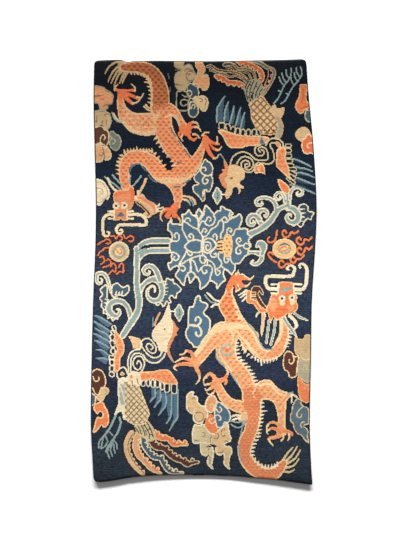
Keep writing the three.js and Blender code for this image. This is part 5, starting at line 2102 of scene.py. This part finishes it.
@dataclass(frozen=True)
class Dyes:
    """How the colours change along the rug: the ground's colour and the other yarns' brightness,
    both darker towards the two ends, most towards the upper end.
    """

    half_length: float = 860.0
    # How far the dark yarn darkens the ground; where it rings the motifs this is painted shade in
    # the carved grooves.
    night: float = 0.42
    tone_base: float = 0.87
    tone_span: float = 0.26
    streak_detail: float = 3.0
    streaks: tuple[Streak, ...] = (
        Streak(9.0, 9.0, 0.7, 0.4), Streak(6.0, 110.0, 1.1, 0.5), Streak(70.0, 230.0, 3.0, 0.9),
    )
    stops: tuple[ToneStop, ...] = (
        ToneStop(-850, (20, 27, 33), 0.6), ToneStop(-800, (31, 39, 47), 0.62),
        ToneStop(-710, (36, 45, 55), 0.75), ToneStop(-580, (33, 42, 56), 0.83),
        ToneStop(-450, (35, 44, 60), 0.87), ToneStop(-400, (42, 51, 69), 0.92),
        ToneStop(-350, (40, 48, 66), 0.94), ToneStop(-300, (46, 54, 71), 0.92),
        ToneStop(-220, (42, 52, 70), 0.94), ToneStop(-150, (45, 56, 74), 0.94),
        ToneStop(-60, (48, 59, 76), 0.92), ToneStop(60, (44, 53, 67), 0.89),
        ToneStop(180, (41, 50, 64), 0.82), ToneStop(330, (24, 35, 51), 0.82),
        ToneStop(400, (19, 31, 46), 0.79), ToneStop(515, (12, 22, 34), 0.74),
        ToneStop(620, (14, 24, 36), 0.68), ToneStop(760, (6, 12, 18), 0.54),
        ToneStop(850, (12, 18, 24), 0.5),
    )

    def group(self) -> bpy.types.NodeTree:
        """Builds the node group that turns a knot's yarn into its colour.

        The palette is a ramp in steps of one yarn; the ground and its dark lines follow the ramp
        of ground colours along the rug, darker towards both ends, the dark lines at a share of the
        ground that is painted shade in the grooves carved round the motifs; the other yarns are
        dimmed by the ramp of brightness, likewise darker towards both ends.

        Returns:
            The group, with inputs Yarn and Tone and output Color.
        """
        nodes = Nodes.group("DyedYarn", ("Yarn", "Tone"), ("Color",))
        source = nodes.add("NodeGroupInput")
        target = nodes.add("NodeGroupOutput")
        place = nodes.add("ShaderNodeTexCoord").outputs["Object"]
        axes = nodes.add("ShaderNodeSeparateXYZ")
        nodes.feed(axes.inputs[0], place)
        share = nodes.math(
            "MULTIPLY_ADD", axes.outputs["Y"], 0.5 / (self.half_length * MM), 0.5, clamp=True
        )
        positions = [(stop.y / self.half_length + 1) / 2 for stop in self.stops]
        ground = nodes.ramp(
            share, [(at, linear(stop.ground)) for at, stop in zip(positions, self.stops)]
        )
        bright = nodes.ramp(
            share, [(at, (stop.bright,) * 3) for at, stop in zip(positions, self.stops)]
        )
        index = nodes.math("MULTIPLY_ADD", source.outputs["Yarn"], 1 / len(Yarn), 0.5 / len(Yarn))
        palette = [(yarn / len(Yarn), linear(yarn.colour)) for yarn in Yarn]
        dyed = nodes.ramp(index, palette, step=True)
        dyed = nodes.mix(1.0, dyed, bright, "MULTIPLY")
        # The dark yarn is the ground darkened: painted shade where it rings the motifs.
        is_night = nodes.math("COMPARE", source.outputs["Yarn"], float(Yarn.NIGHT), 0.4)
        dark = nodes.mix(1.0, ground, (self.night,) * 3 + (1.0,), "MULTIPLY")
        base = nodes.mix(is_night, ground, dark)
        is_dyed = nodes.math("GREATER_THAN", source.outputs["Yarn"], Yarn.NIGHT + 0.5)
        colour = nodes.mix(is_dyed, base, dyed)
        tone = nodes.math(
            "MULTIPLY_ADD", source.outputs["Tone"], self.tone_span, self.tone_base
        )
        for streak in self.streaks:
            stretched = nodes.add("ShaderNodeMapping")
            stretched.inputs["Scale"].default_value = (streak.across, streak.along, 1.0)
            nodes.feed(stretched.inputs["Vector"], place)
            spread = nodes.noise(stretched.outputs[0], 1.0, self.streak_detail)
            fleck = nodes.math("SUBTRACT", spread, 0.5)
            depth = nodes.blend(is_dyed, streak.in_ground, streak.in_motifs)
            tone = nodes.math("MULTIPLY", tone, nodes.math("MULTIPLY_ADD", fleck, depth, 1.0))
        nodes.feed(target.inputs["Color"], nodes.mix(1.0, colour, nodes.grey(tone), "MULTIPLY"))
        return nodes.tree


@dataclass(frozen=True)
class KnotReader:
    """Reads one knot of the four that each face of the mesh carries."""

    def group(self) -> bpy.types.NodeTree:
        """Builds the node group that picks the knot under a point.

        The half of the face across and along picks one of the four channels; its whole part
        is the yarn and the rest its tone. The relief is a rounded tuft in each half.

        Returns:
            The group, with outputs Yarn, Tone and Relief.
        """
        nodes = Nodes.group("KnotReader", (), ("Yarn", "Tone", "Relief"))
        target = nodes.add("NodeGroupOutput")
        knots = nodes.add("ShaderNodeAttribute", attribute_name="knots")
        parts = nodes.add("ShaderNodeSeparateColor")
        nodes.feed(parts.inputs[0], knots.outputs["Color"])
        cell = nodes.add("ShaderNodeUVMap", uv_map="tuft").outputs["UV"]
        axes = nodes.add("ShaderNodeSeparateXYZ")
        nodes.feed(axes.inputs[0], cell)
        right = nodes.math("GREATER_THAN", axes.outputs["X"], 0.5)
        upper = nodes.math("GREATER_THAN", axes.outputs["Y"], 0.5)
        low = nodes.blend(right, parts.outputs["Red"], parts.outputs["Green"])
        high = nodes.blend(right, parts.outputs["Blue"], knots.outputs["Alpha"])
        value = nodes.blend(upper, low, high)
        yarn = nodes.math("FLOOR", value)
        nodes.feed(target.inputs["Yarn"], yarn)
        nodes.feed(target.inputs["Tone"], nodes.math("SUBTRACT", value, yarn))
        rounds = []
        for axis in ("X", "Y"):
            local = nodes.math("FRACT", nodes.math("MULTIPLY", axes.outputs[axis], 2.0))
            rounds.append(nodes.math("SINE", nodes.math("MULTIPLY", local, math.pi)))
        tuft = nodes.math("SQRT", nodes.math("MULTIPLY", *rounds))
        nodes.feed(target.inputs["Relief"], tuft)
        return nodes.tree


@dataclass(frozen=True)
class WoolPile:
    """The cut pile: matte dyed wool, a tuft to each knot, with fibres and a soft sheen."""

    name: str = "wool_pile"
    roughness: float = 0.92
    specular: float = 0.04
    sheen: float = 0.03
    sheen_roughness: float = 0.6
    least_shade: float = 0.84
    tuft_shade: float = 0.16
    bump_strength: float = 0.6
    bump_depth: float = 0.0012
    fibre_scale: float = 900.0
    fibre_height: float = 0.5

    def material(self, dyes: bpy.types.NodeTree, reader: bpy.types.NodeTree) -> bpy.types.Material:
        """Builds the material.

        Args:
            dyes: The group that colours a yarn.
            reader: The group that reads the chart.

        Returns:
            The material.
        """
        material = bpy.data.materials.new(self.name)
        material.use_nodes = True
        nodes = Nodes(material.node_tree)
        shader = nodes.tree.nodes["Principled BSDF"]
        read = nodes.add("ShaderNodeGroup", node_tree=reader)
        dye = nodes.add("ShaderNodeGroup", node_tree=dyes)
        for name in ("Yarn", "Tone"):
            nodes.feed(dye.inputs[name], read.outputs[name])
        height = read.outputs["Relief"]
        if self.fibre_height:
            place = nodes.add("ShaderNodeTexCoord").outputs["Object"]
            fibre = nodes.noise(place, self.fibre_scale)
            height = nodes.math("MULTIPLY_ADD", fibre, self.fibre_height, height)
        shade = nodes.math("MULTIPLY_ADD", height, self.tuft_shade, self.least_shade)
        bump = nodes.add("ShaderNodeBump")
        bump.inputs["Strength"].default_value = self.bump_strength
        bump.inputs["Distance"].default_value = self.bump_depth
        nodes.feed(bump.inputs["Height"], height)
        for name, value in (
            ("Base Color", nodes.mix(1.0, dye.outputs["Color"], nodes.grey(shade), "MULTIPLY")),
            ("Normal", bump.outputs[0]), ("Roughness", self.roughness),
            ("Sheen Weight", self.sheen), ("Sheen Roughness", self.sheen_roughness),
            ("Specular IOR Level", self.specular),
        ):
            nodes.feed(shader.inputs[name], value)
        return material


@dataclass(frozen=True)
class WovenBack(WoolPile):
    """The back, the web and the overcast edges: knots packed flat between rows of weft."""

    name: str = "woven_back"
    roughness: float = 0.95
    sheen: float = 0.0
    least_shade: float = 0.6
    tuft_shade: float = 0.35
    bump_strength: float = 0.8
    bump_depth: float = 0.0008
    fibre_height: float = 0.0


@dataclass(frozen=True)
class WebStretch:
    """A stretch of the lower web that is woven in one yarn, from one x to another."""

    start: float
    end: float
    yarn: Yarn


@dataclass(frozen=True)
class Rug:
    """The whole rug: chart, cloth and finish."""

    surface: RugSurface = field(default_factory=RugSurface)
    flat_width: float = 0.872
    flat_length: float = 1.672
    groove_depth: float = 0.7
    sway: float = 0.35
    waves: tuple[int, ...] = (5, 9, 14, 23)
    calm_sides: float = 0.02
    calm_ends: float = 0.01
    least_tone: float = 0.1
    tone_span: float = 0.8
    tone_peak: float = 3.0
    map_margin: float = 0.015
    map_width: float = 0.465
    wall_margin: float = 0.006
    seed: int = 7
    web: tuple[WebStretch, ...] = (
        WebStretch(-290, -180, Yarn.SAND), WebStretch(-180, -45, Yarn.CREAM),
        WebStretch(0, 55, Yarn.CREAM), WebStretch(55, 95, Yarn.GREY),
        WebStretch(95, 180, Yarn.CREAM), WebStretch(180, 290, Yarn.PALE),
        WebStretch(290, 335, Yarn.BEIGE),
    )

    def chart(self) -> KnotChart:
        """Paints every motif on the knots, and dresses the web and the overcast edges."""
        chart = KnotChart(*self.surface.knot_places())
        for motif in MOTIFS:
            motif().draw(chart)
        across, along = self.surface.edge_knots, self.surface.web_knots
        chart.yarn[:, :across] = chart.yarn[:, -across:] = Yarn.NIGHT
        chart.yarn[:along] = chart.yarn[-along:] = Yarn.WEB
        for stretch in self.web:
            x = chart.x[: along + 1]
            chart.yarn[: along + 1][(x > stretch.start) & (x < stretch.end)] = stretch.yarn
        return chart

    def build(self) -> bpy.types.Object:
        """Builds the cloth as one closed sheet and gives it the chart and its finish."""
        chart = self.chart()
        surface = self.surface
        u, v = np.meshgrid(surface.across_lines(), surface.along_lines())
        rows, columns = u.shape
        x, y = surface.plan(u, v)
        under = surface.lift(u, v, x)
        over = under + surface.depth(u, v) + self.relief(chart, u, v)
        upper = np.stack([x, y, over], -1).reshape(-1, 3)
        lower = np.stack([x, y, under], -1).reshape(-1, 3)
        number = np.arange(rows * columns).reshape(rows, columns)
        top = self.quads(number)
        bottom = self.quads(number + rows * columns)[:, [0, 3, 2, 1]]
        ring = np.concatenate([
            number[0, :-1], number[:-1, -1], number[-1, :0:-1], number[:0:-1, 0]
        ])
        following = np.roll(ring, -1)
        wall = np.stack([ring + rows * columns, following + rows * columns, following, ring], 1)
        faces = np.concatenate([top, bottom, wall])
        mesh = bpy.data.meshes.new("rug_cloth")
        mesh.from_pydata((np.concatenate([upper, lower]) * MM).tolist(), [], faces.tolist())
        self.give_knots(mesh, chart, len(wall))
        self.give_maps(mesh, u, v, len(top), len(wall))
        mesh.polygons.foreach_set("use_smooth", np.ones(len(faces), bool))
        back = np.ones(len(faces), np.int32)
        back[: len(top)] = self.web_cells(rows - 1, columns - 1)
        dyes, reader = Dyes().group(), KnotReader().group()
        mesh.materials.append(WoolPile().material(dyes, reader))
        mesh.materials.append(WovenBack().material(dyes, reader))
        mesh.polygons.foreach_set("material_index", back)
        mesh.update()
        cloth = bpy.data.objects.new("rug_cloth", mesh)
        bpy.context.scene.collection.objects.link(cloth)
        return cloth

    def web_cells(self, rows: int, columns: int) -> np.ndarray:
        """Marks the upper cells that are web or overcast edge with 1, row by row."""
        across, along = self.surface.edge_knots // 2, self.surface.web_knots // 2
        cells = np.ones((rows, columns), np.int32)
        cells[along:-along, across:-across] = 0
        return cells.ravel()

    @staticmethod
    def quads(number: np.ndarray) -> np.ndarray:
        """The four corners of each cell of a grid of vertex numbers, anticlockwise."""
        corners = number[:-1, :-1], number[:-1, 1:], number[1:, 1:], number[1:, :-1]
        return np.stack([corner.ravel() for corner in corners], 1)

    def relief(self, chart: KnotChart, u: np.ndarray, v: np.ndarray) -> np.ndarray:
        """How far the pile's top stands above or below its even height.

        The share of dark ground knots among the four round each vertex, times the groove's
        depth, and slow waves whose crossing sines have fixed phases.

        Args:
            chart: The painted chart.
            u: Shares across of the vertices.
            v: Shares along.

        Returns:
            The change of height in millimetres.
        """
        dark = (chart.yarn == Yarn.NIGHT).astype(float)
        middle = dark[1:-1, 1:-1]
        groove = np.zeros(u.shape)
        groove[1:-1, 1:-1] = sum(middle[i::2, j::2] for i in (0, 1) for j in (0, 1)) / 4
        inner = np.minimum(u, 1 - u) > self.calm_sides
        inner &= np.minimum(v, 1 - v) > self.calm_ends
        rng = np.random.default_rng(self.seed)
        wave = np.zeros(u.shape)
        for count in self.waves:
            phase = rng.uniform(0, 2 * np.pi, 2)
            turn = phase[0] + 2 * np.sin(5 * u + phase[1])
            wave += np.sin(count * 2 * np.pi * v + turn) / len(self.waves)
        return np.where(inner, self.sway * wave - self.groove_depth * groove, 0.0)

    def give_knots(self, mesh: bpy.types.Mesh, chart: KnotChart, walls: int) -> None:
        """Stores four knots on each face: the yarn's number plus a random share as its tone.

        Args:
            mesh: The cloth's mesh.
            chart: The painted chart.
            walls: Faces of the wall round the edge.
        """
        rng = np.random.default_rng(self.seed)
        tone = rng.beta(self.tone_peak, self.tone_peak, chart.yarn.shape)
        value = chart.yarn + self.least_tone + self.tone_span * tone
        upper = np.stack([value[i::2, j::2].ravel() for i in (0, 1) for j in (0, 1)], 1)
        edge = np.full((walls, 4), Yarn.NIGHT + 0.5)
        knots = mesh.attributes.new("knots", "FLOAT_COLOR", "FACE")
        every = np.concatenate([upper, upper, edge]).astype(np.float32)
        knots.data.foreach_set("color", every.ravel())

    def give_maps(
        self, mesh: bpy.types.Mesh, u: np.ndarray, v: np.ndarray, cells: int, walls: int
    ) -> None:
        """Gives the mesh its two maps: the place within a cell, and the flat layout.

        The layout lays the pile in the left half of the square and the back, turned over, in
        the right half; the wall's faces lie in a narrow margin beside the pile.

        Args:
            mesh: The cloth's mesh.
            u: Shares across of one sheet's vertices.
            v: Shares along.
            cells: Faces of each sheet.
            walls: Faces of the wall.
        """
        corners = np.array([(0, 0), (1, 0), (1, 1), (0, 1)], float)
        cell = np.concatenate([
            np.tile(corners, (cells, 1)), np.tile(corners[[0, 3, 2, 1]], (cells, 1)),
            np.tile(corners, (walls, 1)),
        ])
        mesh.uv_layers.new(name="tuft").data.foreach_set("uv", cell.astype(np.float32).ravel())
        loops = np.empty(len(mesh.loops), np.int64)
        mesh.loops.foreach_get("vertex_index", loops)
        flat_u, flat_v = u.ravel()[loops % u.size], v.ravel()[loops % u.size]
        part = np.repeat([0, 1, 2], (4 * cells, 4 * cells, 4 * walls))
        across = self.map_margin + self.map_width * flat_u
        across = np.where(part == 1, 1 - across, across)
        along = self.map_margin + (1 - 2 * self.map_margin) * flat_v
        outward = np.where((part == 2) & (loops >= u.size), self.wall_margin, 0.0)
        across = across + outward * np.trunc(2.0001 * (flat_u - 0.5))
        along = along + outward * np.trunc(2.0001 * (flat_v - 0.5))
        layout = np.stack([across, along], 1).astype(np.float32)
        mesh.uv_layers.new(name="OFBake").data.foreach_set("uv", layout.ravel())


@dataclass(frozen=True)
class Studio:
    """The pale floor, the soft light from beyond the upper end, and the camera above."""

    floor_size: float = 60.0
    floor_colour: tuple[float, float, float] = (0.93, 0.93, 0.93)
    sky: float = 0.22
    strip_distance: float = 30.0
    strip_elevation: float = 28.0
    strip_width: float = 30.0
    strip_height: float = 5.0
    strip_power: float = 25000.0
    camera_place: tuple[float, float, float] = (0.0172, -0.023, 5.0)
    view_height: float = 2.22

    def build(self) -> bpy.types.Object:
        """Builds floor, world, light and camera, and returns the floor."""
        self.light()
        self.camera()
        return self.floor()

    def floor(self) -> bpy.types.Object:
        """Builds the floor as one large flat sheet just under the rug."""
        half = self.floor_size / 2
        mesh = bpy.data.meshes.new("floor")
        corners = [(-half, -half), (half, -half), (half, half), (-half, half)]
        mesh.from_pydata([(x, y, -0.0003) for x, y in corners], [], [(0, 1, 2, 3)])
        material = bpy.data.materials.new("pale_floor")
        material.use_nodes = True
        shader = material.node_tree.nodes["Principled BSDF"]
        shader.inputs["Base Color"].default_value = (*self.floor_colour, 1.0)
        shader.inputs["Roughness"].default_value = 1.0
        shader.inputs["Specular IOR Level"].default_value = 0.0
        mesh.materials.append(material)
        floor = bpy.data.objects.new("floor", mesh)
        bpy.context.scene.collection.objects.link(floor)
        return floor

    def light(self) -> None:
        """Builds the even sky and the long low strip of light beyond the upper end."""
        world = bpy.data.worlds.new("studio")
        world.use_nodes = True
        sky = world.node_tree.nodes["Background"]
        sky.inputs["Color"].default_value = (1.0, 1.0, 1.0, 1.0)
        sky.inputs["Strength"].default_value = self.sky
        bpy.context.scene.world = world
        strip = bpy.data.lights.new("strip", "AREA")
        strip.shape = "RECTANGLE"
        strip.size, strip.size_y = self.strip_width, self.strip_height
        strip.energy = self.strip_power
        lamp = bpy.data.objects.new("strip", strip)
        angle = math.radians(self.strip_elevation)
        lamp.location = (
            0, self.strip_distance * math.cos(angle), self.strip_distance * math.sin(angle)
        )
        lamp.rotation_euler = (-(math.pi / 2 - angle), 0, 0)
        bpy.context.scene.collection.objects.link(lamp)

    def camera(self) -> None:
        """Builds the camera straight above the rug, with the photo's field of view."""
        data = bpy.data.cameras.new("camera")
        data.sensor_width = 36.0
        data.lens = data.sensor_width * self.camera_place[2] / self.view_height
        camera = bpy.data.objects.new("camera", data)
        camera.location = self.camera_place
        bpy.context.scene.collection.objects.link(camera)
        bpy.context.scene.camera = camera
        bpy.context.scene.view_settings.view_transform = "Standard"


def main() -> None:
    """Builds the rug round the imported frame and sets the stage."""
    logging.basicConfig(level=logging.INFO)
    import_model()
    rug = Rug()
    cloth = rug.build()
    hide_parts("rug")
    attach(cloth, "root")
    LOG.info("%s: %d faces", cloth.name, len(cloth.data.polygons))
    Studio().build()


if __name__ == "__main__":
    main()
